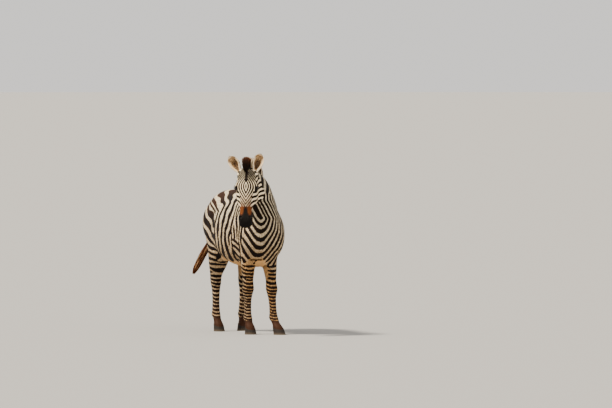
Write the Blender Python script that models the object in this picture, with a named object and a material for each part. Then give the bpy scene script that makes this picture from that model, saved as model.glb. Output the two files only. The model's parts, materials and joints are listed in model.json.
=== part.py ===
"""A plains zebra at life size, standing with its head turned a little to its right.

Metres, +Z up. The zebra heads towards -Y, so its right side is at -X. The soles of the hooves lie at
z = 0 and the origin is under the middle of its box. The flesh is modelled whole, as overlapping lofts
that a voxel remesh fuses, and is then parted with thin cuts where a person would name its parts."""

import math

import bmesh
import bpy
import numpy as np
from mathutils import Matrix, Vector

# Driving dimensions
GAP = 0.0003
VOXEL = 0.011
BODY_TRIANGLES = 4650

HEAD_TURN = math.radians(-25.0)
HEAD_PITCH = math.radians(16.0)
POLL = Vector((-0.272, -0.842, 1.505))

EYE_RADIUS = 0.0205
EYE_PLACE = (0.0850, 0.186, 0.010)

EAR_LENGTH = 0.178
EAR_THICKNESS = 0.005
EAR_STEPS = 3
MANE_SINK = 0.035

# Each leg: where its hoof stands, and the x and y of the limb at PIVOT_HEIGHT, from which it swings.
# The cannon stands HEEL behind the hoof's middle.
PIVOT_HEIGHT = 0.80
HEEL = 0.056
LEGS = {
    "fore_right": {"hoof": (-0.105, -0.425), "top": (-0.118, -0.420), "turn": 8.0},
    "fore_left": {"hoof": (0.101, -0.580), "top": (0.066, -0.440), "turn": 26.0},
    "hind_right": {"hoof": (-0.142, 0.350), "top": (-0.150, 0.395), "turn": 10.0},
    "hind_left": {"hoof": (0.128, 0.430), "top": (0.146, 0.425), "turn": -10.0},
}

# Trunk sections: y, x of the midline, back, belly, half width, height of the widest place, squareness
TRUNK = (
    (0.612, 0.000, 1.125, 0.930, 0.050, 1.030, 2.0),
    (0.582, 0.000, 1.188, 0.850, 0.128, 1.020, 2.1),
    (0.520, 0.000, 1.238, 0.770, 0.196, 1.005, 2.2),
    (0.420, 0.000, 1.276, 0.715, 0.240, 1.000, 2.3),
    (0.300, 0.000, 1.296, 0.685, 0.258, 0.990, 2.35),
    (0.160, 0.000, 1.288, 0.640, 0.270, 0.930, 2.25),
    (0.000, 0.000, 1.272, 0.606, 0.286, 0.895, 2.2),
    (-0.150, 0.000, 1.268, 0.598, 0.282, 0.890, 2.2),
    (-0.280, 0.000, 1.288, 0.600, 0.248, 0.870, 2.0),
    (-0.380, 0.000, 1.300, 0.604, 0.222, 0.855, 1.85),
    (-0.480, -0.004, 1.262, 0.618, 0.204, 0.860, 1.85),
    (-0.560, -0.012, 1.170, 0.662, 0.180, 0.880, 2.0),
    (-0.620, -0.024, 1.070, 0.740, 0.138, 0.900, 2.1),
    (-0.650, -0.030, 0.985, 0.840, 0.060, 0.910, 2.0),
)

# Neck sections: crest x, y, z, throat x, y, z, half width
NECK = (
    (0.000, -0.280, 1.262, 0.000, -0.430, 0.740, 0.145),
    (0.000, -0.390, 1.312, -0.010, -0.585, 0.800, 0.148),
    (-0.022, -0.490, 1.362, -0.042, -0.672, 0.930, 0.116),
    (-0.072, -0.590, 1.420, -0.098, -0.716, 1.050, 0.110),
    (-0.134, -0.675, 1.464, -0.160, -0.748, 1.140, 0.097),
    (-0.200, -0.745, 1.492, -0.216, -0.780, 1.210, 0.088),
    (-0.248, -0.800, 1.492, -0.256, -0.812, 1.280, 0.080),
)

# Head sections: distance down the face from the poll, half width, face forward, jaw back, squareness
HEAD = (
    (-0.010, 0.038, -0.008, 0.070, 2.0),
    (0.016, 0.066, 0.028, 0.118, 2.1),
    (0.055, 0.084, 0.050, 0.144, 2.2),
    (0.105, 0.094, 0.061, 0.160, 2.3),
    (0.160, 0.096, 0.064, 0.172, 2.3),
    (0.215, 0.088, 0.059, 0.172, 2.4),
    (0.265, 0.078, 0.052, 0.148, 2.4),
    (0.320, 0.067, 0.046, 0.114, 2.4),
    (0.375, 0.059, 0.042, 0.092, 2.4),
    (0.425, 0.057, 0.039, 0.081, 2.3),
    (0.470, 0.061, 0.037, 0.076, 2.2),
    (0.508, 0.061, 0.029, 0.071, 2.2),
    (0.534, 0.052, 0.012, 0.062, 2.1),
    (0.548, 0.033, -0.006, 0.048, 2.0),
)

# Brow, cheek, nostril rim and the root of the ear, in the head's frame: left, down, out, and the radii
HEAD_BULGES = (
    ((0.070, 0.164, 0.018), (0.031, 0.042, 0.032)),
    ((0.062, 0.226, -0.074), (0.038, 0.100, 0.084)),
    ((0.038, 0.466, 0.016), (0.026, 0.034, 0.023)),
    ((0.056, 0.052, -0.050), (0.040, 0.050, 0.055)),
)
CHIN = ((0.0, 0.500, -0.048), (0.040, 0.034, 0.030))

# Leg sections: height, y from the cannon's line, half width, front, back
FORELEG = (
    (0.980, -0.030, 0.050, 0.110, 0.110),
    (0.860, -0.010, 0.072, 0.118, 0.122),
    (0.760, 0.006, 0.079, 0.100, 0.112),
    (0.670, 0.004, 0.071, 0.084, 0.094),
    (0.580, 0.000, 0.060, 0.067, 0.072),
    (0.500, -0.002, 0.049, 0.053, 0.054),
    (0.448, -0.004, 0.051, 0.052, 0.049),
    (0.405, -0.004, 0.054, 0.053, 0.050),
    (0.360, 0.000, 0.043, 0.043, 0.046),
    (0.310, 0.000, 0.034, 0.037, 0.042),
    (0.230, 0.000, 0.032, 0.034, 0.041),
    (0.180, 0.000, 0.035, 0.037, 0.045),
    (0.145, -0.003, 0.041, 0.042, 0.051),
    (0.110, -0.022, 0.036, 0.038, 0.039),
    (0.078, -0.042, 0.042, 0.045, 0.045),
    (0.060, -0.048, 0.045, 0.050, 0.048),
    (0.000, -0.058, 0.051, 0.062, 0.052),
    (-0.020, -0.062, 0.053, 0.066, 0.054),
)
HIND_LEG = (
    (1.060, -0.060, 0.085, 0.160, 0.130),
    (0.960, -0.070, 0.108, 0.215, 0.165),
    (0.860, -0.085, 0.112, 0.218, 0.170),
    (0.780, -0.100, 0.103, 0.178, 0.160),
    (0.700, -0.098, 0.098, 0.160, 0.134),
    (0.630, -0.070, 0.085, 0.130, 0.110),
    (0.565, -0.036, 0.068, 0.097, 0.088),
    (0.515, -0.010, 0.054, 0.067, 0.076),
    (0.475, 0.000, 0.051, 0.057, 0.067),
    (0.430, 0.000, 0.047, 0.052, 0.052),
    (0.375, 0.000, 0.037, 0.042, 0.044),
    (0.270, 0.000, 0.033, 0.037, 0.042),
    (0.190, 0.000, 0.036, 0.039, 0.046),
    (0.150, -0.003, 0.041, 0.043, 0.050),
    (0.112, -0.024, 0.036, 0.038, 0.038),
    (0.078, -0.042, 0.041, 0.045, 0.044),
    (0.060, -0.048, 0.044, 0.049, 0.046),
    (0.000, -0.058, 0.049, 0.060, 0.050),
    (-0.020, -0.062, 0.051, 0.064, 0.052),
)

# Tail sections: x, y, z, radius across, radius front to back. The last cut parts the tassel from it.
TAIL = (
    (0.000, 0.540, 1.185, 0.046, 0.038),
    (0.000, 0.606, 1.172, 0.042, 0.036),
    (-0.004, 0.664, 1.115, 0.034, 0.030),
    (-0.024, 0.684, 1.025, 0.029, 0.026),
    (-0.056, 0.684, 0.935, 0.025, 0.023),
    (-0.094, 0.680, 0.850, 0.026, 0.024),
    (-0.136, 0.674, 0.768, 0.036, 0.032),
    (-0.180, 0.668, 0.692, 0.043, 0.037),
    (-0.222, 0.662, 0.620, 0.038, 0.032),
    (-0.258, 0.658, 0.555, 0.027, 0.023),
    (-0.280, 0.656, 0.510, 0.010, 0.010),
)

# Mane stations: x, y and z of the crest, x, y and z of the way the hair stands, height, half thickness
MANE = (
    (-0.312, -0.908, 1.478, -0.34, -0.66, 0.67, 0.030, 0.012),
    (-0.302, -0.890, 1.500, -0.28, -0.50, 0.83, 0.072, 0.022),
    (-0.286, -0.852, 1.512, -0.16, -0.24, 0.96, 0.100, 0.027),
    (-0.254, -0.800, 1.506, -0.08, -0.06, 1.00, 0.104, 0.026),
    (-0.200, -0.742, 1.498, 0.00, 0.10, 0.99, 0.104, 0.024),
    (-0.134, -0.672, 1.470, 0.06, 0.22, 0.97, 0.104, 0.022),
    (-0.072, -0.588, 1.424, 0.06, 0.30, 0.95, 0.102, 0.021),
    (-0.022, -0.488, 1.366, 0.03, 0.34, 0.94, 0.094, 0.020),
    (0.000, -0.392, 1.318, 0.00, 0.40, 0.92, 0.070, 0.018),
    (0.000, -0.330, 1.302, 0.00, 0.50, 0.86, 0.030, 0.012),
)

# Ear stations: share of its length, half width, half of the angle that it curls through, in degrees
EAR = (
    (0.00, 0.020, 150.0),
    (0.14, 0.029, 136.0),
    (0.32, 0.040, 110.0),
    (0.52, 0.047, 92.0),
    (0.72, 0.046, 80.0),
    (0.88, 0.036, 68.0),
    (1.00, 0.010, 50.0),
)
# Each ear in the head's frame: its root, the way it points, and the way it opens
EARS = {
    "ear_right": ((-0.070, 0.026, -0.030), (-0.60, -0.80, -0.06), (-0.30, 0.0, 0.95)),
    "ear_left": ((0.066, 0.026, -0.030), (0.27, -0.95, -0.06), (0.20, 0.0, 0.98)),
}

# Muscles and bones that show under the skin: x, y, z, and the radii along x, y and z. Both sides.
BULGES = (
    (0.136, -0.430, 0.900, 0.082, 0.135, 0.200),
    (0.090, -0.350, 1.130, 0.052, 0.090, 0.120),
    (0.080, -0.580, 0.850, 0.086, 0.080, 0.120),
    (0.150, 0.400, 0.985, 0.112, 0.190, 0.200),
    (0.118, 0.490, 0.950, 0.095, 0.125, 0.170),
    (0.130, 0.250, 1.110, 0.098, 0.130, 0.110),
)

# Thin cuts that part the flesh: centre, normal, and the cutter's half sizes across the normal
CUTS = (
    ((-0.020, -0.530, 1.130), (-0.30, -0.70, 0.65), (0.45, 0.45)),
    ((0.000, -0.480, 0.572), (0.00, 0.00, 1.00), (0.32, 0.24)),
    ((0.000, 0.340, 0.655), (0.00, -0.30, 0.95), (0.32, 0.27)),
    ((0.000, -0.480, 0.352), (0.00, 0.00, 1.00), (0.32, 0.26)),
    ((0.000, 0.420, 0.412), (0.00, 0.00, 1.00), (0.32, 0.26)),
    ((-0.008, 0.676, 1.075), (-0.10, 0.12, -0.98), (0.060, 0.045)),
    ((-0.108, 0.678, 0.822), (-0.44, -0.06, -0.90), (0.070, 0.070)),
)
# The cut behind the jaw, in the head's frame: down the face and out of it, from the poll to the throat
JAW_CUT = (
    (-0.060, -0.020),
    (0.000, -0.065),
    (0.060, -0.115),
    (0.120, -0.160),
    (0.170, -0.187),
    (0.210, -0.195),
    (0.250, -0.182),
    (0.290, -0.145),
)
JAW_CUT_HALF_WIDTH = 0.17
GROUND_DEPTH = 0.10
HOOF_CUT = ((0.0, 0.006, 0.060), (0.0, 0.34, -1.0), (0.10, 0.10))

# A point near the middle of each piece that the cuts leave
PIECES = {
    "head": (-0.29, -0.91, 1.28),
    "neck": (-0.10, -0.64, 1.26),
    "trunk": (0.00, -0.02, 0.94),
    "tail_dock": (-0.04, 0.68, 0.95),
    "tail_tassel": (-0.19, 0.665, 0.67),
}

COLOURS = {
    "coat": ((0.62, 0.52, 0.38), 0.75),
    "mane": ((0.10, 0.07, 0.05), 0.85),
    "tassel": ((0.28, 0.13, 0.05), 0.85),
    "horn": ((0.09, 0.08, 0.075), 0.45),
    "eye": ((0.015, 0.010, 0.008), 0.08),
}


def clear_scene():
    for old in list(bpy.data.objects):
        bpy.data.objects.remove(old, do_unlink=True)


def material(name):
    """The Principled material of one finish, made the first time it is asked for."""
    found = bpy.data.materials.get(name)
    if found:
        return found
    made = bpy.data.materials.new(name)
    made.use_nodes = True
    colour, roughness = COLOURS[name]
    shader = made.node_tree.nodes["Principled BSDF"]
    shader.inputs["Base Color"].default_value = (*colour, 1.0)
    shader.inputs["Roughness"].default_value = roughness
    shader.inputs["Metallic"].default_value = 0.0
    return made


def new_object(name, mesh):
    made = bpy.data.objects.new(name, mesh)
    bpy.context.scene.collection.objects.link(made)
    return made


def smooth_rows(rows, between):
    """Catmull-Rom through rows of numbers, with this many steps between one row and the next."""
    rows = np.array(rows, float)
    padded = np.vstack([2 * rows[0] - rows[1], rows, 2 * rows[-1] - rows[-2]])
    found = []
    for first in range(len(rows) - 1):
        before, start, end, after = padded[first : first + 4]
        for step in range(between):
            t = step / between
            found.append(
                0.5
                * (
                    2 * start
                    + (end - before) * t
                    + (2 * before - 5 * start + 4 * end - after) * t**2
                    + (3 * start - before - 3 * end + after) * t**3
                )
            )
    return np.array([*found, rows[-1]])


def oval(centre, side, up, half_width, above, below, squareness=2.0, count=28):
    """A ring of points: a superellipse that reaches differently far above and below its centre."""
    power = 2.0 / squareness
    points = []
    for k in range(count):
        angle = 2 * math.pi * k / count
        across, along = math.cos(angle), math.sin(angle)
        reach = above if along > 0 else below
        x = half_width * math.copysign(abs(across) ** power, across)
        y = reach * math.copysign(abs(along) ** power, along)
        points.append(Vector(centre) + Vector(side) * x + Vector(up) * y)
    return points


def loft(rings):
    """A closed mesh through rings of equally many points, with flat ends."""
    shape = bmesh.new()
    loops = [[shape.verts.new(point) for point in ring] for ring in rings]
    for lower, upper in zip(loops, loops[1:]):
        for k in range(len(lower)):
            after = (k + 1) % len(lower)
            shape.faces.new((lower[k], lower[after], upper[after], upper[k]))
    shape.faces.new(loops[0])
    shape.faces.new(loops[-1])
    bmesh.ops.recalc_face_normals(shape, faces=shape.faces)
    return shape


def ellipsoid(frame, radii):
    """A closed ball in a frame, with its own radius along each of the frame's axes."""
    shape = bmesh.new()
    bmesh.ops.create_uvsphere(shape, u_segments=14, v_segments=9, radius=1.0)
    place = frame @ Matrix.Diagonal((*radii, 1.0))
    bmesh.ops.transform(shape, matrix=place, verts=shape.verts)
    bmesh.ops.recalc_face_normals(shape, faces=shape.faces)
    return shape


def head_frame():
    """The head's own frame: its columns point to its left, down the face and out of the forehead."""
    ahead = Vector((math.sin(HEAD_TURN), -math.cos(HEAD_TURN), 0.0))
    up = Vector((0.0, 0.0, 1.0))
    left = up.cross(ahead)
    down = ahead * math.sin(HEAD_PITCH) - up * math.cos(HEAD_PITCH)
    out = ahead * math.cos(HEAD_PITCH) + up * math.sin(HEAD_PITCH)
    frame = Matrix((left, down, out)).transposed().to_4x4()
    return Matrix.Translation(POLL) @ frame


def trunk():
    rings = []
    for y, middle, back, belly, half_width, widest, squareness in smooth_rows(TRUNK, 4):
        centre = (middle, y, widest)
        rings.append(
            oval(centre, (1, 0, 0), (0, 0, 1), half_width, back - widest, widest - belly, squareness, 40)
        )
    return loft(rings)


def neck():
    rings = []
    for row in smooth_rows(NECK, 5):
        crest, throat, half_width = Vector(row[:3]), Vector(row[3:6]), row[6]
        height = crest - throat
        up = height.normalized()
        ahead = Vector((math.sin(HEAD_TURN), -math.cos(HEAD_TURN), 0.0))
        side = up.cross(ahead).normalized()
        centre = throat + height * 0.44
        rings.append(
            oval(centre, side, up, half_width, height.length * 0.56, height.length * 0.44, 2.1, 32)
        )
    return loft(rings)


def head():
    frame = head_frame()
    left, down, out = (frame.col[k].to_3d() for k in range(3))
    rings = []
    for along, half_width, face, jaw, squareness in smooth_rows(HEAD, 4):
        middle = (face - jaw) / 2 + 0.012
        centre = POLL + down * along + out * middle
        rings.append(
            oval(centre, left, out, half_width, face - middle, middle + jaw, squareness, 32)
        )
    return loft(rings)


def head_bulges():
    """Brows, cheeks, nostril rims and the roots of the ears on both sides, and the chin."""
    rows = [CHIN]
    for (across, along, out), radii in HEAD_BULGES:
        rows += [((side * across, along, out), radii) for side in (-1, 1)]
    frame = head_frame()
    return [ellipsoid(frame @ Matrix.Translation(centre), radii) for centre, radii in rows]


def leg_line(leg, height):
    """The x and y of a leg's cannon line at a height: it leans from its top to its hoof."""
    hoof, top = LEGS[leg]["hoof"], LEGS[leg]["top"]
    share = min(height / PIVOT_HEIGHT, 1.0)
    x = hoof[0] + (top[0] - hoof[0]) * share
    y = hoof[1] + HEEL + (top[1] - hoof[1] - HEEL) * share
    return x, y


def leg(name):
    rows = FORELEG if name.startswith("fore") else HIND_LEG
    turn = math.radians(LEGS[name]["turn"])
    rings = []
    for height, ahead, half_width, front, back in smooth_rows(rows, 4):
        x, y = leg_line(name, height)
        foot_turn = turn * max(0.0, 1.0 - height / 0.45)
        side = Vector((math.cos(foot_turn), math.sin(foot_turn), 0.0))
        rear = Vector((-math.sin(foot_turn), math.cos(foot_turn), 0.0))
        centre = Vector((x, y, height)) + rear * ahead
        rings.append(oval(centre, side, rear, half_width, back, front, 2.15, 28))
    return loft(rings)


def tail():
    rings = []
    rows = smooth_rows(TAIL, 4)
    points = [Vector(row[:3]) for row in rows]
    for k, row in enumerate(rows):
        along = (points[min(k + 1, len(rows) - 1)] - points[max(k - 1, 0)]).normalized()
        side = Vector((0, 1, 0)).cross(along).normalized()
        front = along.cross(side)
        rings.append(oval(points[k], side, front, row[3], row[4], row[4], 2.0, 20))
    return loft(rings)


def fuse(shapes, name):
    """One skin around overlapping shapes: a voxel remesh, then a light smoothing of the joins."""
    whole = bpy.data.meshes.new(name)
    joined = bmesh.new()
    for shape in shapes:
        part = bpy.data.meshes.new("piece")
        shape.to_mesh(part)
        shape.free()
        joined.from_mesh(part)
        bpy.data.meshes.remove(part)
    joined.to_mesh(whole)
    joined.free()
    body = new_object(name, whole)
    remesh = body.modifiers.new("fuse", "REMESH")
    remesh.mode = "VOXEL"
    remesh.voxel_size = VOXEL
    apply_modifiers(body)
    smooth_joins(body)
    return body


def apply_modifiers(obj):
    """Keeps the evaluated mesh as the object's own."""
    graph = bpy.context.evaluated_depsgraph_get()
    mesh = bpy.data.meshes.new_from_object(obj.evaluated_get(graph))
    obj.modifiers.clear()
    old = obj.data
    obj.data = mesh
    bpy.data.meshes.remove(old)


def smooth_joins(body):
    """Softens the creases where lofts meet: much on the trunk, little on the legs and the head."""
    count = len(body.data.vertices)
    places = np.empty(count * 3)
    body.data.vertices.foreach_get("co", places)
    places = places.reshape(-1, 3)
    edges = np.empty(len(body.data.edges) * 2, np.int64)
    body.data.edges.foreach_get("vertices", edges)
    first, second = edges.reshape(-1, 2).T
    neighbours = np.bincount(first, minlength=count) + np.bincount(second, minlength=count)
    to_head = np.linalg.norm(places - np.array(POLL + head_frame().col[1].to_3d() * 0.2), axis=1)
    near_head = np.clip((0.42 - to_head) / 0.12, 0, 1)
    low = np.clip((0.66 - places[:, 2]) / 0.10, 0, 1)
    give = 0.6 * (1 - 0.93 * np.maximum(near_head, low))
    for _ in range(14):
        mean = np.zeros_like(places)
        for axis in range(3):
            mean[:, axis] = np.bincount(first, places[second, axis], count)
            mean[:, axis] += np.bincount(second, places[first, axis], count)
        mean /= neighbours[:, None]
        places += (mean - places) * give[:, None]
    body.data.vertices.foreach_set("co", places.reshape(-1))
    body.data.update()


def coarsen(body):
    """Fewer triangles: a flat place keeps few of them and a sharply curved one keeps many."""
    decimate = body.modifiers.new("coarser", "DECIMATE")
    decimate.ratio = BODY_TRIANGLES / (2 * len(body.data.polygons))
    apply_modifiers(body)


def mane():
    """The standing crest of hair, sunk into the neck, which is cut away from it afterwards."""
    rows = smooth_rows(MANE, 3)
    places = [Vector(row[:3]) for row in rows]
    rings = []
    for k, row in enumerate(rows):
        along = places[max(k - 1, 0)] - places[min(k + 1, len(rows) - 1)]
        up = Vector(row[3:6]).normalized()
        side = along.cross(up).normalized()
        rings.append(oval(places[k], side, up, row[7], row[6], MANE_SINK, 2.6, 8))
    return loft(rings)


def ear(name):
    """A curled leaf of skin, open along its front, as a sheet that gets its thickness afterwards."""
    root, pointing, opening = EARS[name]
    frame = head_frame()
    turn = frame.to_3x3()
    axis = (turn @ Vector(pointing)).normalized()
    opens = turn @ Vector(opening)
    opens = (opens - axis * opens.dot(axis)).normalized()
    side = axis.cross(opens)
    shape = bmesh.new()
    rows = []
    for share, half_width, curl in smooth_rows(EAR, 2).tolist():
        half_angle = math.radians(curl)
        radius = half_width / math.sin(min(half_angle, math.pi / 2))
        backward = 0.016 * math.sin(math.pi * share) + (radius - half_width) * 0.5
        middle = frame @ Vector(root) + axis * (EAR_LENGTH * share) - opens * backward
        row = []
        for k in range(-EAR_STEPS, EAR_STEPS + 1):
            angle = half_angle * k / EAR_STEPS
            reach = side * math.sin(angle) - opens * math.cos(angle)
            row.append(shape.verts.new(middle + reach * radius))
        rows.append(row)
    for lower, upper in zip(rows, rows[1:]):
        for k in range(2 * EAR_STEPS):
            shape.faces.new((lower[k], lower[k + 1], upper[k + 1], upper[k]))
    return shape


def object_from(shape, name, finish):
    mesh = bpy.data.meshes.new(name)
    bmesh.ops.triangulate(shape, faces=shape.faces)
    shape.to_mesh(mesh)
    shape.free()
    mesh.materials.append(material(finish))
    return new_object(name, mesh)


def cut_away(obj, cutter):
    """Takes the cutter's shape out of the object, for good."""
    cutter.hide_render = True
    cutter.display_type = "WIRE"
    cut = obj.modifiers.new("cut", "BOOLEAN")
    cut.operation = "DIFFERENCE"
    cut.object = cutter
    cut.solver = "EXACT"
    cut.use_self = True
    apply_modifiers(obj)


def fit_over(obj, body, lift):
    """Leaves of the object only what stands clear of the body, by about as much as the lift."""
    clearance = new_object("clearance", body.data.copy())
    clearance.data.transform(Matrix.Translation(lift))
    cut_away(obj, clearance)
    remove(clearance)


def remove(obj):
    mesh = obj.data
    bpy.data.objects.remove(obj, do_unlink=True)
    bpy.data.meshes.remove(mesh)


def slab(centre, normal, halves, thickness=GAP):
    """A plate across a direction: cutting a thin one away leaves a gap across the flesh."""
    normal = Vector(normal).normalized()
    shape = bmesh.new()
    bmesh.ops.create_cube(shape, size=2.0)
    side = Vector((1, 0, 0)) if abs(normal.x) < 0.9 else Vector((0, 1, 0))
    ahead = normal.cross(side).normalized()
    side = ahead.cross(normal)
    frame = Matrix((side * halves[0], ahead * halves[1], normal * thickness / 2)).transposed().to_4x4()
    bmesh.ops.transform(shape, matrix=Matrix.Translation(centre) @ frame, verts=shape.verts)
    bmesh.ops.recalc_face_normals(shape, faces=shape.faces)
    return object_from(shape, "slab", "coat")


def jaw_sheet():
    """A thin bent sheet that passes behind the jaw and comes out under the throat."""
    shape = bmesh.new()
    frame = head_frame()
    points = [Vector((0.0, *row)) for row in JAW_CUT]
    outline = []
    for k, point in enumerate(points):
        along = (points[min(k + 1, len(points) - 1)] - points[max(k - 1, 0)]).normalized()
        across = Vector((1, 0, 0)).cross(along)
        outline.append((point - across * GAP / 2, point + across * GAP / 2))
    ring = [inner for inner, outer in outline] + [outer for inner, outer in reversed(outline)]
    sides = []
    for reach in (-JAW_CUT_HALF_WIDTH, JAW_CUT_HALF_WIDTH):
        sides.append([shape.verts.new(frame @ (point + Vector((reach, 0, 0)))) for point in ring])
    count = len(ring)
    for k in range(count):
        after = (k + 1) % count
        shape.faces.new((sides[0][k], sides[0][after], sides[1][after], sides[1][k]))
    for side in sides:
        for k in range(len(points) - 1):
            shape.faces.new((side[k], side[k + 1], side[count - 2 - k], side[count - 1 - k]))
    bmesh.ops.recalc_face_normals(shape, faces=shape.faces)
    return object_from(shape, "sheet", "coat")


def hoof_cuts():
    """The coronet of each foot, where horn meets hair: higher at the toe than at the heel."""
    offset, normal, halves = HOOF_CUT
    found = []
    for leg_name in LEGS:
        x, y = LEGS[leg_name]["hoof"]
        found.append(((x + offset[0], y + offset[1], offset[2]), normal, halves))
    return found


def piece_places():
    """Where the middle of each piece of flesh is expected."""
    places = dict(PIECES)
    for leg_name in LEGS:
        fore = leg_name.startswith("fore")
        upper, lower = ("forearm", "fore_cannon") if fore else ("gaskin", "hind_cannon")
        heights = {upper: 0.47 if fore else 0.53, lower: 0.20 if fore else 0.24, "hoof": 0.02}
        side = leg_name.split("_")[1]
        for part, height in heights.items():
            x, y = leg_line(leg_name, height)
            ahead = {"hoof": -0.055}.get(part, 0.0)
            name = f"{leg_name}_hoof" if part == "hoof" else f"{part}_{side}"
            places[name] = (x, y + ahead, height)
    return places


def split(body):
    """The loose pieces of the body as objects, each named after the place nearest to it."""
    whole = bmesh.new()
    whole.from_mesh(body.data)
    bmesh.ops.remove_doubles(whole, verts=whole.verts, dist=GAP / 30)
    todo = set(whole.verts)
    groups = []
    while todo:
        group = {todo.pop()}
        edge = list(group)
        while edge:
            vert = edge.pop()
            for link in vert.link_edges:
                other = link.other_vert(vert)
                if other not in group:
                    group.add(other)
                    edge.append(other)
        todo -= group
        groups.append(group)
    places = piece_places()
    for group in groups:
        low = Vector([min(vert.co[k] for vert in group) for k in range(3)])
        high = Vector([max(vert.co[k] for vert in group) for k in range(3)])
        middle = (low + high) / 2
        name = min(places, key=lambda key: (Vector(places[key]) - middle).length)
        index = {vert: k for k, vert in enumerate(group)}
        faces = {face for vert in group for face in vert.link_faces}
        mesh = bpy.data.meshes.new(name)
        mesh.from_pydata([vert.co for vert in index], [], [[index[v] for v in f.verts] for f in faces])
        mesh.materials.append(material("horn" if name.endswith("hoof") else "coat"))
        mesh.shade_smooth()
        new_object(name, mesh)
        print(name, [round(c, 3) for c in middle], len(faces))
    whole.free()


def to_origin():
    """Moves the whole model so that the origin is under the middle of its box."""
    shown = [obj for obj in bpy.data.objects if not obj.hide_render]
    points = np.vstack([np.array([vert.co for vert in obj.data.vertices]) for obj in shown])
    low, high = points.min(0), points.max(0)
    shift = Vector((-(low[0] + high[0]) / 2, -(low[1] + high[1]) / 2, 0.0))
    for obj in shown:
        obj.data.transform(Matrix.Translation(shift))
    print("shift", tuple(shift), "box", low, high)


def main():
    clear_scene()
    shapes = [trunk(), neck(), head(), tail(), *head_bulges()]
    shapes += [leg(name) for name in LEGS]
    for x, y, z, *radii in BULGES:
        shapes += [ellipsoid(Matrix.Translation((side * x, y, z)), radii) for side in (-1, 1)]
    body = fuse(shapes, "body")
    body.data.materials.append(material("coat"))
    coarsen(body)
    ground = slab((0.0, 0.0, -GROUND_DEPTH / 2), (0, 0, 1), (1.2, 1.2), GROUND_DEPTH)
    cut_away(body, ground)
    remove(ground)

    fit_over(object_from(mane(), "mane", "mane"), body, (0.0, -2 * GAP, 4 * GAP))
    for name, side in (("ear_right", -1), ("ear_left", 1)):
        leaf = object_from(ear(name), name, "coat")
        thicken = leaf.modifiers.new("thicken", "SOLIDIFY")
        thicken.thickness = EAR_THICKNESS
        thicken.offset = 0.0
        apply_modifiers(leaf)
        fit_over(leaf, body, (side * 3 * GAP, -GAP, 4 * GAP))
    for side, name in ((-1, "eye_right"), (1, "eye_left")):
        place = head_frame() @ Matrix.Translation((side * EYE_PLACE[0], *EYE_PLACE[1:]))
        room = object_from(ellipsoid(place, [EYE_RADIUS + GAP] * 3), "room", "eye")
        cut_away(body, room)
        remove(room)
        object_from(ellipsoid(place, [EYE_RADIUS] * 3), name, "eye")
    plates = [slab(*cut) for cut in (*CUTS, *hoof_cuts())]
    for plate in (*plates, jaw_sheet()):
        cut_away(body, plate)
        remove(plate)
    split(body)
    remove(body)
    to_origin()


main()
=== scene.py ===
# %% [markdown]
# # A plains zebra, life size
# The packed solids are a fixed frame: every named node lies where that part of the animal really is.
# This file gives the frame its looks. One soft skin takes the place of the nodes of flesh, and eyes,
# lids, ears, hooves, mane and tassel are pieces of their own. The stripes are worked out by one set of
# functions, and the skin and the hair that lies over it both read them, so they always agree.

import json
import math

import bmesh
import bpy
import numpy as np
from mathutils import Matrix, Vector

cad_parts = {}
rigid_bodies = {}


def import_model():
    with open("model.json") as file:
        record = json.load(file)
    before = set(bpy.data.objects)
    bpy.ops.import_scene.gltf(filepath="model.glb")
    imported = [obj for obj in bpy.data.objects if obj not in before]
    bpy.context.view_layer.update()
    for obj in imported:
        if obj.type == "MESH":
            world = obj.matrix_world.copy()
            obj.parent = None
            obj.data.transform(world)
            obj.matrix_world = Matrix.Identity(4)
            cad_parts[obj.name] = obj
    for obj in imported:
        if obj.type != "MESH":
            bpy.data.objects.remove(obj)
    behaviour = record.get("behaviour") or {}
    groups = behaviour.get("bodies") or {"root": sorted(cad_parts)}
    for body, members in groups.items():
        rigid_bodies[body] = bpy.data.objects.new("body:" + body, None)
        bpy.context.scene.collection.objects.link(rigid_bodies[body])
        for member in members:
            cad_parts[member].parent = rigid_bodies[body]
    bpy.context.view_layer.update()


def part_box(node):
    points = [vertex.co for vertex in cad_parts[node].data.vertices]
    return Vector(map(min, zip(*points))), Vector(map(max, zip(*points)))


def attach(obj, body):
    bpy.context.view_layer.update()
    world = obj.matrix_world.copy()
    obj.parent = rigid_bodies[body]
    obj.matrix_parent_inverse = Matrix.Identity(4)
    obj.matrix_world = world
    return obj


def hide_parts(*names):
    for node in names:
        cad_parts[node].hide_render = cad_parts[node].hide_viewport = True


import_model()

# %% [markdown]
# ## Measures of the body
# A body is easiest to describe as cross sections along a line: how high, how low and how wide it is
# at each place. These are the sections of the solids, so the skin falls where the solids are. The
# zebra heads towards -Y and its right side is at -X. Everything is built round the same first origin
# as the solids were, and moved into the frame at the end.

# %% Sections of the head, neck, trunk, legs and tail
HEAD_TURN = math.radians(-25.0)
HEAD_PITCH = math.radians(16.0)
POLL = Vector((-0.272, -0.842, 1.505))

EYE_RADIUS = 0.0205
EYE_PLACE = (0.0850, 0.186, 0.010)

EAR_LENGTH = 0.178
EAR_THICKNESS = 0.005

# Each leg: where its hoof stands, and the x and y of the limb at PIVOT_HEIGHT, from which it swings.
# The cannon's line stands a little behind the middle of the hoof, by HEEL.
PIVOT_HEIGHT = 0.80
KNEE_HEIGHT = 0.45
HEEL = 0.056
LEGS = {
    "fore_right": {"hoof": (-0.105, -0.425), "top": (-0.118, -0.420), "turn": 8.0},
    "fore_left": {"hoof": (0.101, -0.580), "top": (0.066, -0.440), "turn": 26.0},
    "hind_right": {"hoof": (-0.142, 0.350), "top": (-0.150, 0.395), "turn": 10.0},
    "hind_left": {"hoof": (0.128, 0.430), "top": (0.146, 0.425), "turn": -10.0},
}

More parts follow.
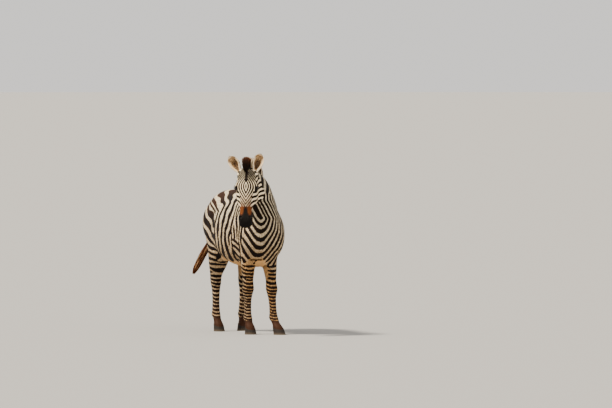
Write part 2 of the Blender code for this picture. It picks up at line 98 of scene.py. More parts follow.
# Trunk sections: y, x of the midline, back, belly, half width, height of the widest place, squareness
TRUNK = (
    (0.612, 0.000, 1.125, 0.930, 0.050, 1.030, 2.0),
    (0.582, 0.000, 1.188, 0.850, 0.128, 1.020, 2.1),
    (0.520, 0.000, 1.238, 0.770, 0.196, 1.005, 2.2),
    (0.420, 0.000, 1.276, 0.715, 0.240, 1.000, 2.3),
    (0.300, 0.000, 1.296, 0.685, 0.258, 0.990, 2.35),
    (0.160, 0.000, 1.288, 0.640, 0.270, 0.930, 2.25),
    (0.000, 0.000, 1.272, 0.606, 0.286, 0.895, 2.2),
    (-0.150, 0.000, 1.268, 0.598, 0.282, 0.890, 2.2),
    (-0.280, 0.000, 1.288, 0.600, 0.248, 0.870, 2.0),
    (-0.380, 0.000, 1.300, 0.604, 0.222, 0.855, 1.85),
    (-0.480, -0.004, 1.262, 0.618, 0.204, 0.860, 1.85),
    (-0.560, -0.012, 1.170, 0.662, 0.180, 0.880, 2.0),
    (-0.620, -0.024, 1.070, 0.740, 0.138, 0.900, 2.1),
    (-0.650, -0.030, 0.985, 0.840, 0.060, 0.910, 2.0),
)

# Neck sections: crest x, y, z, throat x, y, z, half width
NECK = (
    (0.000, -0.280, 1.262, 0.000, -0.430, 0.740, 0.145),
    (0.000, -0.390, 1.312, -0.010, -0.585, 0.800, 0.148),
    (-0.022, -0.490, 1.362, -0.042, -0.672, 0.930, 0.116),
    (-0.072, -0.590, 1.420, -0.098, -0.716, 1.050, 0.110),
    (-0.134, -0.675, 1.464, -0.160, -0.748, 1.140, 0.097),
    (-0.200, -0.745, 1.492, -0.216, -0.780, 1.210, 0.088),
    (-0.248, -0.800, 1.492, -0.256, -0.812, 1.280, 0.080),
)

# Head sections: distance down the face from the poll, half width, face forward, jaw back, squareness
HEAD = (
    (-0.010, 0.038, -0.008, 0.070, 2.0),
    (0.016, 0.066, 0.028, 0.118, 2.1),
    (0.055, 0.084, 0.050, 0.144, 2.2),
    (0.105, 0.094, 0.061, 0.160, 2.3),
    (0.160, 0.096, 0.064, 0.172, 2.3),
    (0.215, 0.088, 0.059, 0.172, 2.4),
    (0.265, 0.078, 0.052, 0.148, 2.4),
    (0.320, 0.067, 0.046, 0.114, 2.4),
    (0.375, 0.059, 0.042, 0.092, 2.4),
    (0.425, 0.057, 0.039, 0.081, 2.3),
    (0.470, 0.061, 0.037, 0.076, 2.2),
    (0.508, 0.061, 0.029, 0.071, 2.2),
    (0.534, 0.052, 0.012, 0.062, 2.1),
    (0.548, 0.033, -0.006, 0.048, 2.0),
)

# Brow, cheek, nostril rim and the root of the ear, in the head's frame: left, down, out, and the radii
HEAD_BULGES = (
    ((0.070, 0.164, 0.018), (0.031, 0.042, 0.032)),
    ((0.062, 0.226, -0.074), (0.038, 0.100, 0.084)),
    ((0.038, 0.466, 0.016), (0.026, 0.034, 0.023)),
    ((0.056, 0.052, -0.050), (0.040, 0.050, 0.055)),
)
CHIN = ((0.0, 0.500, -0.048), (0.040, 0.034, 0.030))

# Leg sections: height, y from the cannon's line, half width, front, back
FORELEG = (
    (0.980, -0.030, 0.050, 0.110, 0.110),
    (0.860, -0.010, 0.072, 0.118, 0.122),
    (0.760, 0.006, 0.079, 0.100, 0.112),
    (0.670, 0.004, 0.071, 0.084, 0.094),
    (0.580, 0.000, 0.060, 0.067, 0.072),
    (0.500, -0.002, 0.049, 0.053, 0.054),
    (0.448, -0.004, 0.051, 0.052, 0.049),
    (0.405, -0.004, 0.054, 0.053, 0.050),
    (0.360, 0.000, 0.043, 0.043, 0.046),
    (0.310, 0.000, 0.034, 0.037, 0.042),
    (0.230, 0.000, 0.032, 0.034, 0.041),
    (0.180, 0.000, 0.035, 0.037, 0.045),
    (0.145, -0.003, 0.041, 0.042, 0.051),
    (0.110, -0.022, 0.036, 0.038, 0.039),
    (0.078, -0.042, 0.042, 0.045, 0.045),
    (0.060, -0.048, 0.045, 0.050, 0.048),
    (0.000, -0.058, 0.051, 0.062, 0.052),
    (-0.020, -0.062, 0.053, 0.066, 0.054),
)
HIND_LEG = (
    (1.060, -0.060, 0.085, 0.160, 0.130),
    (0.960, -0.070, 0.108, 0.215, 0.165),
    (0.860, -0.085, 0.112, 0.218, 0.170),
    (0.780, -0.100, 0.103, 0.178, 0.160),
    (0.700, -0.098, 0.098, 0.160, 0.134),
    (0.630, -0.070, 0.085, 0.130, 0.110),
    (0.565, -0.036, 0.068, 0.097, 0.088),
    (0.515, -0.010, 0.054, 0.067, 0.076),
    (0.475, 0.000, 0.051, 0.057, 0.067),
    (0.430, 0.000, 0.047, 0.052, 0.052),
    (0.375, 0.000, 0.037, 0.042, 0.044),
    (0.270, 0.000, 0.033, 0.037, 0.042),
    (0.190, 0.000, 0.036, 0.039, 0.046),
    (0.150, -0.003, 0.041, 0.043, 0.050),
    (0.112, -0.024, 0.036, 0.038, 0.038),
    (0.078, -0.042, 0.041, 0.045, 0.044),
    (0.060, -0.048, 0.044, 0.049, 0.046),
    (0.000, -0.058, 0.049, 0.060, 0.050),
    (-0.020, -0.062, 0.051, 0.064, 0.052),
)

# Tail sections: x, y, z, radius across, radius front to back.
TAIL = (
    (0.000, 0.540, 1.185, 0.046, 0.038),
    (0.000, 0.606, 1.172, 0.042, 0.036),
    (-0.004, 0.664, 1.115, 0.034, 0.030),
    (-0.024, 0.684, 1.025, 0.029, 0.026),
    (-0.056, 0.684, 0.935, 0.025, 0.023),
    (-0.094, 0.680, 0.850, 0.026, 0.024),
    (-0.136, 0.674, 0.768, 0.036, 0.032),
    (-0.180, 0.668, 0.692, 0.043, 0.037),
    (-0.222, 0.662, 0.620, 0.038, 0.032),
    (-0.258, 0.658, 0.555, 0.027, 0.023),
    (-0.280, 0.656, 0.510, 0.010, 0.010),
)

# Mane stations: x, y and z of the crest, x, y and z of the way the hair stands, height, half thickness
MANE = (
    (-0.312, -0.908, 1.478, -0.34, -0.66, 0.67, 0.030, 0.012),
    (-0.302, -0.890, 1.500, -0.28, -0.50, 0.83, 0.072, 0.022),
    (-0.286, -0.852, 1.512, -0.16, -0.24, 0.96, 0.100, 0.027),
    (-0.254, -0.800, 1.506, -0.08, -0.06, 1.00, 0.104, 0.026),
    (-0.200, -0.742, 1.498, 0.00, 0.10, 0.99, 0.104, 0.024),
    (-0.134, -0.672, 1.470, 0.06, 0.22, 0.97, 0.104, 0.022),
    (-0.072, -0.588, 1.424, 0.06, 0.30, 0.95, 0.102, 0.021),
    (-0.022, -0.488, 1.366, 0.03, 0.34, 0.94, 0.094, 0.020),
    (0.000, -0.392, 1.318, 0.00, 0.40, 0.92, 0.070, 0.018),
    (0.000, -0.330, 1.302, 0.00, 0.50, 0.86, 0.030, 0.012),
)

# Ear stations: share of its length, half width, half of the angle that it curls through, in degrees
EAR = (
    (0.00, 0.020, 150.0),
    (0.14, 0.029, 136.0),
    (0.32, 0.040, 110.0),
    (0.52, 0.047, 92.0),
    (0.72, 0.046, 80.0),
    (0.88, 0.036, 68.0),
    (1.00, 0.010, 50.0),
)
# Each ear in the head's frame: its root, the way it points, and the way it opens
EARS = {
    "ear_right": ((-0.070, 0.026, -0.030), (-0.60, -0.80, -0.06), (-0.30, 0.0, 0.95)),
    "ear_left": ((0.066, 0.026, -0.030), (0.27, -0.95, -0.06), (0.20, 0.0, 0.98)),
}

# Muscles and bones that show under the skin: x, y, z, and the radii along x, y and z. Both sides.
BULGES = (
    (0.136, -0.430, 0.900, 0.082, 0.135, 0.200),
    (0.090, -0.350, 1.130, 0.052, 0.090, 0.120),
    (0.080, -0.580, 0.850, 0.086, 0.080, 0.120),
    (0.150, 0.400, 0.985, 0.112, 0.190, 0.200),
    (0.118, 0.490, 0.950, 0.095, 0.125, 0.170),
    (0.130, 0.250, 1.110, 0.098, 0.130, 0.110),
)
# The line behind the jaw, in the head's frame: down the face and out of it, from the poll to the throat
JAW_CUT = (
    (-0.060, -0.020),
    (0.000, -0.065),
    (0.060, -0.115),
    (0.120, -0.160),
    (0.170, -0.187),
    (0.210, -0.195),
    (0.250, -0.182),
    (0.290, -0.145),
)
# The plane of the coronet: its place from the hoof's middle, and the way down from it
CORONET_PLACE = (0.0, 0.006, 0.060)
CORONET_WAY = (0.0, 0.34, -1.0)
COAT_DEPTH = 0.0022
SKIN_VOXEL = 0.0070
SMOOTHINGS = 34
TASSEL_SHARE = 0.46
print("sections", len(TRUNK), len(NECK), len(HEAD), len(FORELEG), len(HIND_LEG), len(TAIL))

# %% [markdown]
# ## Frames of reference
# The head is turned and tilted, so its own frame is handy: across the face, down the face, and out of
# the forehead. The same three directions place the eyes, the nostrils, the ears and the face's stripes.
# The eye's node tells how far the solids were moved when their box was centred over the origin.

# %% The head's frame and the move into the frame
AHEAD = Vector((math.sin(HEAD_TURN), -math.cos(HEAD_TURN), 0.0))
UP = Vector((0.0, 0.0, 1.0))
LEFT = UP.cross(AHEAD)
DOWN = AHEAD * math.sin(HEAD_PITCH) - UP * math.cos(HEAD_PITCH)
OUT = AHEAD * math.cos(HEAD_PITCH) + UP * math.sin(HEAD_PITCH)
HEAD_FRAME = Matrix.Translation(POLL) @ Matrix((LEFT, DOWN, OUT)).transposed().to_4x4()
HEAD_AXES = np.array((LEFT, DOWN, OUT)).T


def on_head(across, down, out):
    """A place given across, down and out of the face, in the body's coordinates."""
    return HEAD_FRAME @ Vector((across, down, out))


eye_low, eye_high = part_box("eye_right")
SHIFT = Vector([(a + b) / 2 for a, b in zip(eye_low, eye_high)]) - on_head(-EYE_PLACE[0], *EYE_PLACE[1:])
SHIFT.z = 0.0
print("the solids were moved by", [round(c, 4) for c in SHIFT])

# %% [markdown]
# ## Small tools for numbers
# Three functions carry most of the work. One follows a list of stops, straight from one to the next,
# one rises smoothly from 0 to 1, like a soft edge, and one blends two values by such a share.


# %% Following stops, soft edges and smooth rows
def track(at, *stops):
    """Numbers that follow stops of (place, value), straight between one and the next."""
    places, values = zip(*sorted(stops))
    return np.interp(at, places, values)


def rise(at, low, high):
    """0 below low, 1 above high, and a smooth way up between them."""
    share = np.clip((at - low) / (high - low), 0.0, 1.0)
    return share * share * (3.0 - 2.0 * share)


def blend(first, second, share):
    """The first where the share is 0, the second where it is 1, and a mixture between."""
    return first * (1 - share) + second * share


def smooth_rows(rows, between):
    """Catmull-Rom through rows of numbers, with this many steps between one row and the next."""
    rows = np.array(rows, float)
    padded = np.vstack([2 * rows[0] - rows[1], rows, 2 * rows[-1] - rows[-2]])
    steps = np.arange(between)[:, None] / between
    found = []
    for before, start, end, after in zip(padded, padded[1:], padded[2:], padded[3:]):
        straight = (end - before) * steps
        square = (2 * before - 5 * start + 4 * end - after) * steps**2
        cube = (3 * start - before - 3 * end + after) * steps**3
        found.append((2 * start + straight + square + cube) / 2)
    return np.vstack([*found, rows[-1:]])


def between_rows(rows, at):
    """The numbers of rows, read at places that may fall between one row and the next."""
    return np.stack([np.interp(at, np.arange(len(rows)), column) for column in rows.T], -1)


def unit(vectors):
    """The same directions with length 1."""
    return vectors / np.maximum(np.linalg.norm(vectors, axis=-1, keepdims=True), 1e-9)


print("half way up a soft edge:", rise(0.5, 0.0, 1.0))

# %% [markdown]
# ## Lofts
# A loft joins rings of points into a closed shape. Each ring is a superellipse that reaches its own
# way up and down, because a neck or a jaw is never a plain ellipse. Trunk, neck, head, legs and tail
# are lofts, and muscles are balls squeezed to three radii.


# %% Rings, lofts and balls
def ring(centre, side, up, half_width, above, below, squareness, count):
    """A superellipse round a centre, with its own reach above and below."""
    angle = np.arange(count) * 2 * math.pi / count
    across, along = np.cos(angle), np.sin(angle)
    power = 2.0 / squareness
    x = half_width * np.sign(across) * np.abs(across) ** power
    y = np.where(along > 0, above, below) * np.sign(along) * np.abs(along) ** power
    return np.array(centre) + np.outer(x, side) + np.outer(y, up)


def loft(rings):
    """A closed mesh through rings of equally many points, with flat ends."""
    shape = bmesh.new()
    loops = [[shape.verts.new(point) for point in points] for points in rings]
    for lower, upper in zip(loops, loops[1:]):
        for k in range(len(lower)):
            after = (k + 1) % len(lower)
            shape.faces.new((lower[k], lower[after], upper[after], upper[k]))
    shape.faces.new(loops[0])
    shape.faces.new(loops[-1])
    bmesh.ops.recalc_face_normals(shape, faces=shape.faces)
    return shape


def ball(place, radii, segments=20):
    """A closed ball in a frame, with its own radius along each of the frame's axes."""
    shape = bmesh.new()
    bmesh.ops.create_uvsphere(shape, u_segments=segments, v_segments=segments // 2, radius=1.0)
    bmesh.ops.transform(shape, matrix=place @ Matrix.Diagonal((*radii, 1.0)), verts=shape.verts)
    bmesh.ops.recalc_face_normals(shape, faces=shape.faces)
    return shape


print("a ring of four points:", ring((0, 0, 0), (1, 0, 0), (0, 0, 1), 1, 1, 1, 2, 4).round(2).tolist())


# %% The trunk, the neck and the head
def trunk_shape():
    """The trunk, whose rings stand upright across the line of the back."""
    rings = []
    for y, middle, back, belly, half_width, widest, squareness in smooth_rows(TRUNK, 5):
        centre = (middle, y, widest)
        reach = (back - widest, widest - belly)
        rings.append(ring(centre, (1, 0, 0), (0, 0, 1), half_width, *reach, squareness, 64))
    return loft(rings)


def neck_shape():
    """The neck, whose rings lean from the crest to the throat."""
    rings = []
    for row in smooth_rows(NECK, 6):
        crest, throat = Vector(row[:3]), Vector(row[3:6])
        height = crest - throat
        up = height.normalized()
        side = up.cross(AHEAD).normalized()
        reach = (height.length * 0.56, height.length * 0.44)
        rings.append(ring(throat + height * 0.44, side, up, row[6], *reach, 2.1, 48))
    return loft(rings)


def head_shape():
    """The head, whose rings are centred between the face and the jaw."""
    rings = []
    for along, half_width, face, jaw, squareness in smooth_rows(HEAD, 6):
        middle = (face - jaw) / 2 + 0.012
        centre = POLL + DOWN * along + OUT * middle
        rings.append(ring(centre, LEFT, OUT, half_width, face - middle, middle + jaw, squareness, 48))
    return loft(rings)


print("rings of the trunk:", len(smooth_rows(TRUNK, 5)))


# %% The legs and the tail
def leg_line(leg, height):
    """The x and y of a leg's cannon line at a height: it leans from its top to its hoof."""
    hoof, top = LEGS[leg]["hoof"], LEGS[leg]["top"]
    share = np.minimum(height / PIVOT_HEIGHT, 1.0)
    x = hoof[0] + (top[0] - hoof[0]) * share
    y = hoof[1] + HEEL + (top[1] - hoof[1] - HEEL) * share
    return x, y


def leg_shape(name, between=5, count=36):
    """A leg from its sections, with the foot turned outwards more and more below the knee."""
    rows = FORELEG if name.startswith("fore") else HIND_LEG
    turn = math.radians(LEGS[name]["turn"])
    rings = []
    for height, ahead, half_width, front, back in smooth_rows(rows, between):
        x, y = leg_line(name, height)
        foot_turn = turn * max(0.0, 1.0 - height / KNEE_HEIGHT)
        side = Vector((math.cos(foot_turn), math.sin(foot_turn), 0.0))
        rear = Vector((-math.sin(foot_turn), math.cos(foot_turn), 0.0))
        centre = Vector((x, y, height)) + rear * ahead
        rings.append(ring(centre, side, rear, half_width, back, front, 2.15, count))
    return loft(rings)


TAIL_ROWS = smooth_rows(TAIL, 8)


def tail_place(share):
    """The tail's middle at shares of its length, with its two cross directions and its radii."""
    at = np.asarray(share) * (len(TAIL_ROWS) - 1)
    rows = between_rows(TAIL_ROWS, at)
    along = unit(between_rows(np.gradient(TAIL_ROWS[:, :3], axis=0), at))
    side = unit(np.cross((0.0, 1.0, 0.0), along))
    return rows[..., :3], side, np.cross(along, side), rows[..., 3:5]


def tail_shape(end):
    """The tail from its root to a share of its length."""
    rings = []
    for share in np.linspace(0.0, end, 40):
        middle, side, front, radii = tail_place(share)
        rings.append(ring(middle, side, front, radii[0], radii[1], radii[1], 2.0, 24))
    return loft(rings)


print("leg line at the knee:", [round(float(c), 3) for c in leg_line("fore_right", 0.42)])

# %% [markdown]
# ## One skin
# Lofts that pass through each other don't look like an animal. A voxel remesh wraps them in a single
# surface, as a taxidermist lays one skin over a form, and smoothing then lets it sag across the creases:
# much on the trunk, little on the legs and hardly at all on the head. The head gets finer faces
# afterwards, because its stripes and its folds are the finest.


# %% Meshes from arrays, and back
def new_object(name, data, finish=None):
    """An object in the scene, with its finish if it has one."""
    if finish:
        data.materials.append(finish)
    made = bpy.data.objects.new(name, data)
    bpy.context.scene.collection.objects.link(made)
    return made


def mesh_from(shape, name):
    """A mesh from an editable shape, which is freed."""
    mesh = bpy.data.meshes.new(name)
    shape.to_mesh(mesh)
    shape.free()
    return mesh


def mesh_of(name, points, *faces):
    """A mesh from an array of points and arrays of faces, each array with its own number of corners."""
    mesh = bpy.data.meshes.new(name)
    mesh.vertices.add(len(points))
    mesh.vertices.foreach_set("co", np.ascontiguousarray(points, np.float32).ravel())
    corners = np.concatenate([group.ravel() for group in faces]).astype(np.int32)
    totals = np.concatenate([np.full(len(group), group.shape[1]) for group in faces])
    mesh.loops.add(len(corners))
    mesh.loops.foreach_set("vertex_index", corners)
    mesh.polygons.add(len(totals))
    starts = np.concatenate([[0], np.cumsum(totals)[:-1]]).astype(np.int32)
    mesh.polygons.foreach_set("loop_start", starts)
    mesh.update(calc_edges=True)
    mesh.shade_smooth()
    return mesh


def read(items, key, width=1):
    """One property of all vertices, edges, corners or triangles as an array."""
    kind = np.int32 if key in ("vertices", "vertex_index") else np.float32
    found = np.empty(len(items) * width, kind)
    items.foreach_get(key, found)
    return found.reshape(-1, width) if width > 1 else found


def places_of(mesh):
    return read(mesh.vertices, "co", 3).astype(float)


def normals_of(mesh):
    return read(mesh.vertex_normals, "vector", 3).astype(float)


def set_places(mesh, places):
    mesh.vertices.foreach_set("co", np.ascontiguousarray(places, np.float32).ravel())
    mesh.update()


def settle(obj):
    """Keeps what the object's modifiers make as its own mesh."""
    graph = bpy.context.evaluated_depsgraph_get()
    mesh = bpy.data.meshes.new_from_object(obj.evaluated_get(graph))
    obj.modifiers.clear()
    obj.data = mesh


print("mesh tools ready")


# %% Wrap the lofts in one surface
def joined(shapes, name):
    """One mesh that holds all the shapes."""
    whole = bmesh.new()
    for shape in shapes:
        part = mesh_from(shape, "part")
        whole.from_mesh(part)
        bpy.data.meshes.remove(part)
    return mesh_from(whole, name)


def wrapped():
    """The skin before its relief: all lofts and muscles inside one closed surface."""
    shapes = [trunk_shape(), neck_shape(), head_shape(), tail_shape(TASSEL_SHARE + 0.10)]
    shapes += [leg_shape(name) for name in LEGS]
    for x, y, z, *radii in BULGES:
        shapes += [ball(Matrix.Translation((side * x, y, z)), radii) for side in (-1, 1)]
    for (across, down, out), radii in HEAD_BULGES:
        for side in (-1, 1):
            shapes.append(ball(HEAD_FRAME @ Matrix.Translation((side * across, down, out)), radii))
    shapes.append(ball(HEAD_FRAME @ Matrix.Translation(CHIN[0]), CHIN[1]))
    skin = new_object("skin", joined(shapes, "skin"))
    remesh = skin.modifiers.new("wrap", "REMESH")
    remesh.mode = "VOXEL"
    remesh.voxel_size = SKIN_VOXEL
    settle(skin)
    return skin


def smooth_joins(skin):
    """Softens the creases where lofts meet: much on the trunk, little on the legs and the head."""
    places = places_of(skin.data)
    first, second = read(skin.data.edges, "vertices", 2).T
    count = len(places)
    neighbours = np.bincount(first, minlength=count) + np.bincount(second, minlength=count)
    to_head = np.linalg.norm(places - np.array(POLL + DOWN * 0.2), axis=1)
    near_head = np.clip((0.42 - to_head) / 0.12, 0, 1)
    low = np.clip((0.66 - places[:, 2]) / 0.10, 0, 1)
    give = 0.6 * (1 - 0.93 * np.maximum(near_head, low))
    for _ in range(SMOOTHINGS):
        mean = np.zeros_like(places)
        for axis in range(3):
            mean[:, axis] = np.bincount(first, places[second, axis], count)
            mean[:, axis] += np.bincount(second, places[first, axis], count)
        places += (mean / neighbours[:, None] - places) * give[:, None]
    set_places(skin.data, places)


skin = wrapped()
smooth_joins(skin)
print("skin faces", len(skin.data.polygons))


# %% Where the head ends
def on_face(points, soft=0.008):
    """Points across, down and out of the face, and how much each belongs to the head, from 0 to 1."""
    across, down, out = ((points - np.array(POLL)) @ HEAD_AXES).T
    behind = track(down, *JAW_CUT, (0.34, -0.125), (0.60, -0.115))
    share = rise(out - behind, -soft, soft) * rise(down, -0.065, -0.045)
    share *= rise(0.15 - np.abs(across), 0.0, 0.01) * rise(0.60 - down, 0.0, 0.01)
    return across, down, out, share


def refine_head(skin):
    """Parts each face of the head into four."""
    shape = bmesh.new()
    shape.from_mesh(skin.data)
    share = on_face(places_of(skin.data))[3]
    edges = [edge for edge in shape.edges if min(share[v.index] for v in edge.verts) > 0.5]
    bmesh.ops.subdivide_edges(shape, edges=edges, cuts=1, use_grid_fill=True)
    shape.to_mesh(skin.data)
    shape.free()


refine_head(skin)
print("skin faces with a finer head", len(skin.data.polygons))

# %% [markdown]
# ## Relief
# Muscles, veins and folds are low, long dents and ridges. Each is a stroke: a line from one point to
# another, as wide as its radius, that moves the skin in or out along its own normal. Nostrils and the
# mouth are deeper strokes in the head's frame. Strokes are cheaper than carving, and each has a name.

# %% Strokes on the body and the head
# From x, y, z to x, y, z, radius, and height out of the skin. Both sides.
BODY_STROKES = {
    "edge of the shoulder blade": ((0.135, -0.520, 0.960), (0.105, -0.370, 1.180), 0.030, 0.006),
    "hollow behind the shoulder": ((0.215, -0.270, 0.900), (0.190, -0.250, 1.120), 0.045, -0.007),
    "back of the upper arm": ((0.195, -0.345, 0.930), (0.175, -0.330, 0.760), 0.022, -0.007),
    "front of the upper arm": ((0.150, -0.545, 0.860), (0.165, -0.500, 0.700), 0.020, -0.005),
    "elbow": ((0.170, -0.345, 0.745), (0.165, -0.350, 0.715), 0.028, 0.008),
    "forearm muscle line": ((0.165, -0.440, 0.680), (0.135, -0.425, 0.520), 0.010, -0.0035),
    "flank": ((0.262, 0.185, 1.060), (0.235, 0.235, 0.900), 0.055, -0.010),
    "stifle fold": ((0.225, 0.215, 0.860), (0.190, 0.215, 0.720), 0.020, -0.008),
    "hip bone": ((0.170, 0.215, 1.190), (0.185, 0.240, 1.170), 0.035, 0.008),
    "groove of the thigh": ((0.175, 0.535, 1.030), (0.165, 0.490, 0.760), 0.018, -0.006),
    "second groove of the thigh": ((0.215, 0.440, 1.020), (0.200, 0.420, 0.800), 0.020, -0.004),
    "hamstring": ((0.150, 0.500, 0.640), (0.140, 0.475, 0.560), 0.012, -0.005),
    "groove of the shank": ((0.175, 0.400, 0.620), (0.160, 0.430, 0.500), 0.010, -0.004),
}
# Across, down and out of the face, to the same, radius, and height. Both sides.
HEAD_STROKES = {
    "nostril": ((0.040, 0.462, 0.034), (0.050, 0.488, 0.010), 0.0085, -0.014),
    "rim of the nostril": ((0.052, 0.452, 0.030), (0.062, 0.484, 0.004), 0.009, 0.0045),
    "inner rim of the nostril": ((0.027, 0.468, 0.036), (0.036, 0.494, 0.026), 0.008, 0.0030),
    "mouth": ((0.062, 0.420, -0.042), (0.020, 0.545, -0.026), 0.0045, -0.0055),
    "mouth in front": ((0.020, 0.545, -0.026), (0.000, 0.548, -0.026), 0.0045, -0.0050),
    "upper lip": ((0.060, 0.440, -0.026), (0.026, 0.540, -0.012), 0.011, 0.0030),
    "cheek bone": ((0.088, 0.215, -0.010), (0.066, 0.330, -0.016), 0.010, 0.0050),
    "hollow below the cheek bone": ((0.080, 0.270, -0.052), (0.060, 0.360, -0.050), 0.018, -0.0040),
    "hollow above the eye": ((0.066, 0.125, 0.030), (0.078, 0.128, 0.010), 0.014, -0.0060),
    "brow": ((0.080, 0.160, 0.036), (0.092, 0.192, 0.030), 0.009, 0.0040),
    "corner of the eye": ((0.090, 0.212, 0.014), (0.084, 0.232, 0.016), 0.005, -0.0030),
    "edge of the jaw": ((0.082, 0.150, -0.140), (0.070, 0.250, -0.135), 0.018, 0.0040),
    "vein of the face": ((0.072, 0.250, 0.006), (0.060, 0.350, -0.020), 0.0035, 0.0012),
    "nose bone": ((0.020, 0.250, 0.052), (0.018, 0.390, 0.040), 0.007, 0.0020),
}


RIB_PITCH = 0.062
RIB_HEIGHT = 0.0010


def stroke_share(points, start, end, radius):
    """How much of a stroke each point gets: 1 on its line and next to nothing beyond its radius."""
    start, way = np.array(start), np.array(end) - np.array(start)
    along = np.clip((points - start) @ way / (way @ way), 0, 1)
    gap = np.linalg.norm(points - start - along[:, None] * way, axis=1)
    return np.exp(-((gap / radius) ** 2))


def relief(points):
    """The height of all strokes at each point."""
    across, down, out, head_share = on_face(points)
    mirrored = np.stack([np.abs(points[:, 0]), points[:, 1], points[:, 2]], 1)
    height = np.zeros(len(points))
    for start, end, radius, lift in BODY_STROKES.values():
        height += lift * stroke_share(mirrored, start, end, radius)
    ribs = np.sin(points[:, 1] / RIB_PITCH * 2 * math.pi + points[:, 2] * 4.0)
    ribs *= rise(points[:, 1], -0.22, -0.10) * rise(0.20 - points[:, 1], 0, 0.12)
    ribs *= rise(points[:, 2], 0.72, 0.82) * rise(1.12 - points[:, 2], 0, 0.12)
    height += RIB_HEIGHT * ribs
    height *= 1 - head_share
    face = np.stack([np.abs(across), down, out], 1)
    for start, end, radius, lift in HEAD_STROKES.values():
        height += head_share * lift * stroke_share(face, start, end, radius)
    return height


places = places_of(skin.data)
lift = relief(places) - COAT_DEPTH * (1 - 0.4 * on_face(places)[3])
set_places(skin.data, places + normals_of(skin.data) * lift[:, None])
print("deepest dent", round(float(lift.min()), 4), "highest ridge", round(float(lift.max()), 4))

# %% [markdown]
# ## Where hair ends and horn begins
# The coronet is the slanting line round each foot above the hoof. The skin is kept down to a little
# below it, inside the horn, so that no gap can show.


# %% Trim the feet
HIDDEN_EDGE = 0.010
FOOT_HEIGHT = 0.12


def nearest_leg(points):
    """The number of the leg, in the order of LEGS, that each point belongs to or is over."""
    right, fore = points[:, 0] < 0, points[:, 1] < -0.06
    return np.where(fore, 0, 2) + np.where(right, 0, 1)


def lines_of_legs(points):
    """The x and y of the cannon's line of the leg nearest to each point, at the point's height."""
    lines = [leg_line(leg, points[:, 2]) for leg in LEGS]
    return [np.choose(nearest_leg(points), column) for column in zip(*lines)]


def coronet(leg):
    """The middle of one foot's coronet."""
    return np.array((*LEGS[leg]["hoof"], 0.0)) + CORONET_PLACE


def trim_feet(skin):
    """Cuts the skin away below a hidden edge inside each hoof."""
    shape = bmesh.new()
    shape.from_mesh(skin.data)
    points = places_of(skin.data)
    heights = [(coronet(leg) - points) @ unit(np.array(CORONET_WAY)) for leg in LEGS]
    height = np.choose(nearest_leg(points), heights)
    gone = (height < -HIDDEN_EDGE) & (points[:, 2] < FOOT_HEIGHT)
    bmesh.ops.delete(shape, geom=[v for v in shape.verts if gone[v.index]], context="VERTS")
    shape.to_mesh(skin.data)
    shape.free()


trim_feet(skin)
print("skin points", len(skin.data.vertices))

# %% [markdown]
# ## Stripes
# A zebra's stripes cross the body like contour lines: narrow on the neck, broad on the haunch, and
# rings on the legs. So each region gets a field, a number that passes a whole number in the middle of
# each dark stripe, and the cosine of the field is positive inside the dark. Where regions meet, the
# cosines are blended, which makes the forks and the Y shapes that real stripes have.


# %% Stripes of the flank and the neck
def stripes(field):
    """1 in the middle of each dark stripe of a field, and -1 in the middle of each pale one."""
    return np.cos(2 * math.pi * field)


def passed(at, middles):
    """How many stripe middles have been passed, with the shares between them; middles fall."""
    gaps = [np.clip((a - at) / (a - b), 0, 1) for a, b in zip(middles, middles[1:])]
    return sum(gaps)


# Where each dark stripe of the flank and the neck crosses the middle of the side, tail to head
FLANK_DARKS = (0.041, -0.055, -0.150, -0.222, -0.288, -0.335, -0.385, -0.430, -0.480, -0.560)
NECK_DARKS = (-0.630, -0.700, -0.765, -0.830, -0.895)


# The height above which each of them fans out over the croup
FAN_FROM = ((0.041, 1.10), (-0.055, 1.155), (-0.15, 1.175), (-0.222, 1.22), (-0.3, 1.3), (-0.34, 2))


def flank_field(points):
    """Upright stripes that fan out over the croup, lean back on the neck and sweep back below."""
    y, z = points[:, 1], points[:, 2]
    middles = []
    for dark in FLANK_DARKS + NECK_DARKS:
        fan_from = track(dark, *FAN_FROM)
        sweep = track(dark, (-0.29, 0.04), (-0.22, 0.06), (-0.15, 0.10), (-0.05, 0.17), (0.04, 0.15))
        lean = 0.5 * track(dark, (-0.25, 0.0), (-0.52, 1.0))
        place = dark + 3.0 * np.maximum(0, z - fan_from)
        place += track(dark, (-0.48, 0.012), (-0.28, 0.0)) * np.sin(19 * z + 30 * dark)
        place += sweep * (np.maximum(0, 0.84 - z) / 0.17) ** 2 + lean * np.maximum(0, z - 0.97)
        middles.append(place)
    rear = np.maximum(0, y - middles[0]) / 0.10
    front = np.maximum(0, middles[-1] - y) / 0.065
    return passed(y, middles) - rear + front


print("stripes of the flank and the neck:", len(FLANK_DARKS) + len(NECK_DARKS))

# %% Loops of the chest
# Radii of the dark loops that hang round the middle of the chest, from the throat's tip outwards
V_SHAPE = 1.35
CHEST_RINGS = ((0.015, 12), (0.048, 11), (0.080, 10), (0.125, 9), (0.163, 8), (0.200, 7), (0.235, 6))


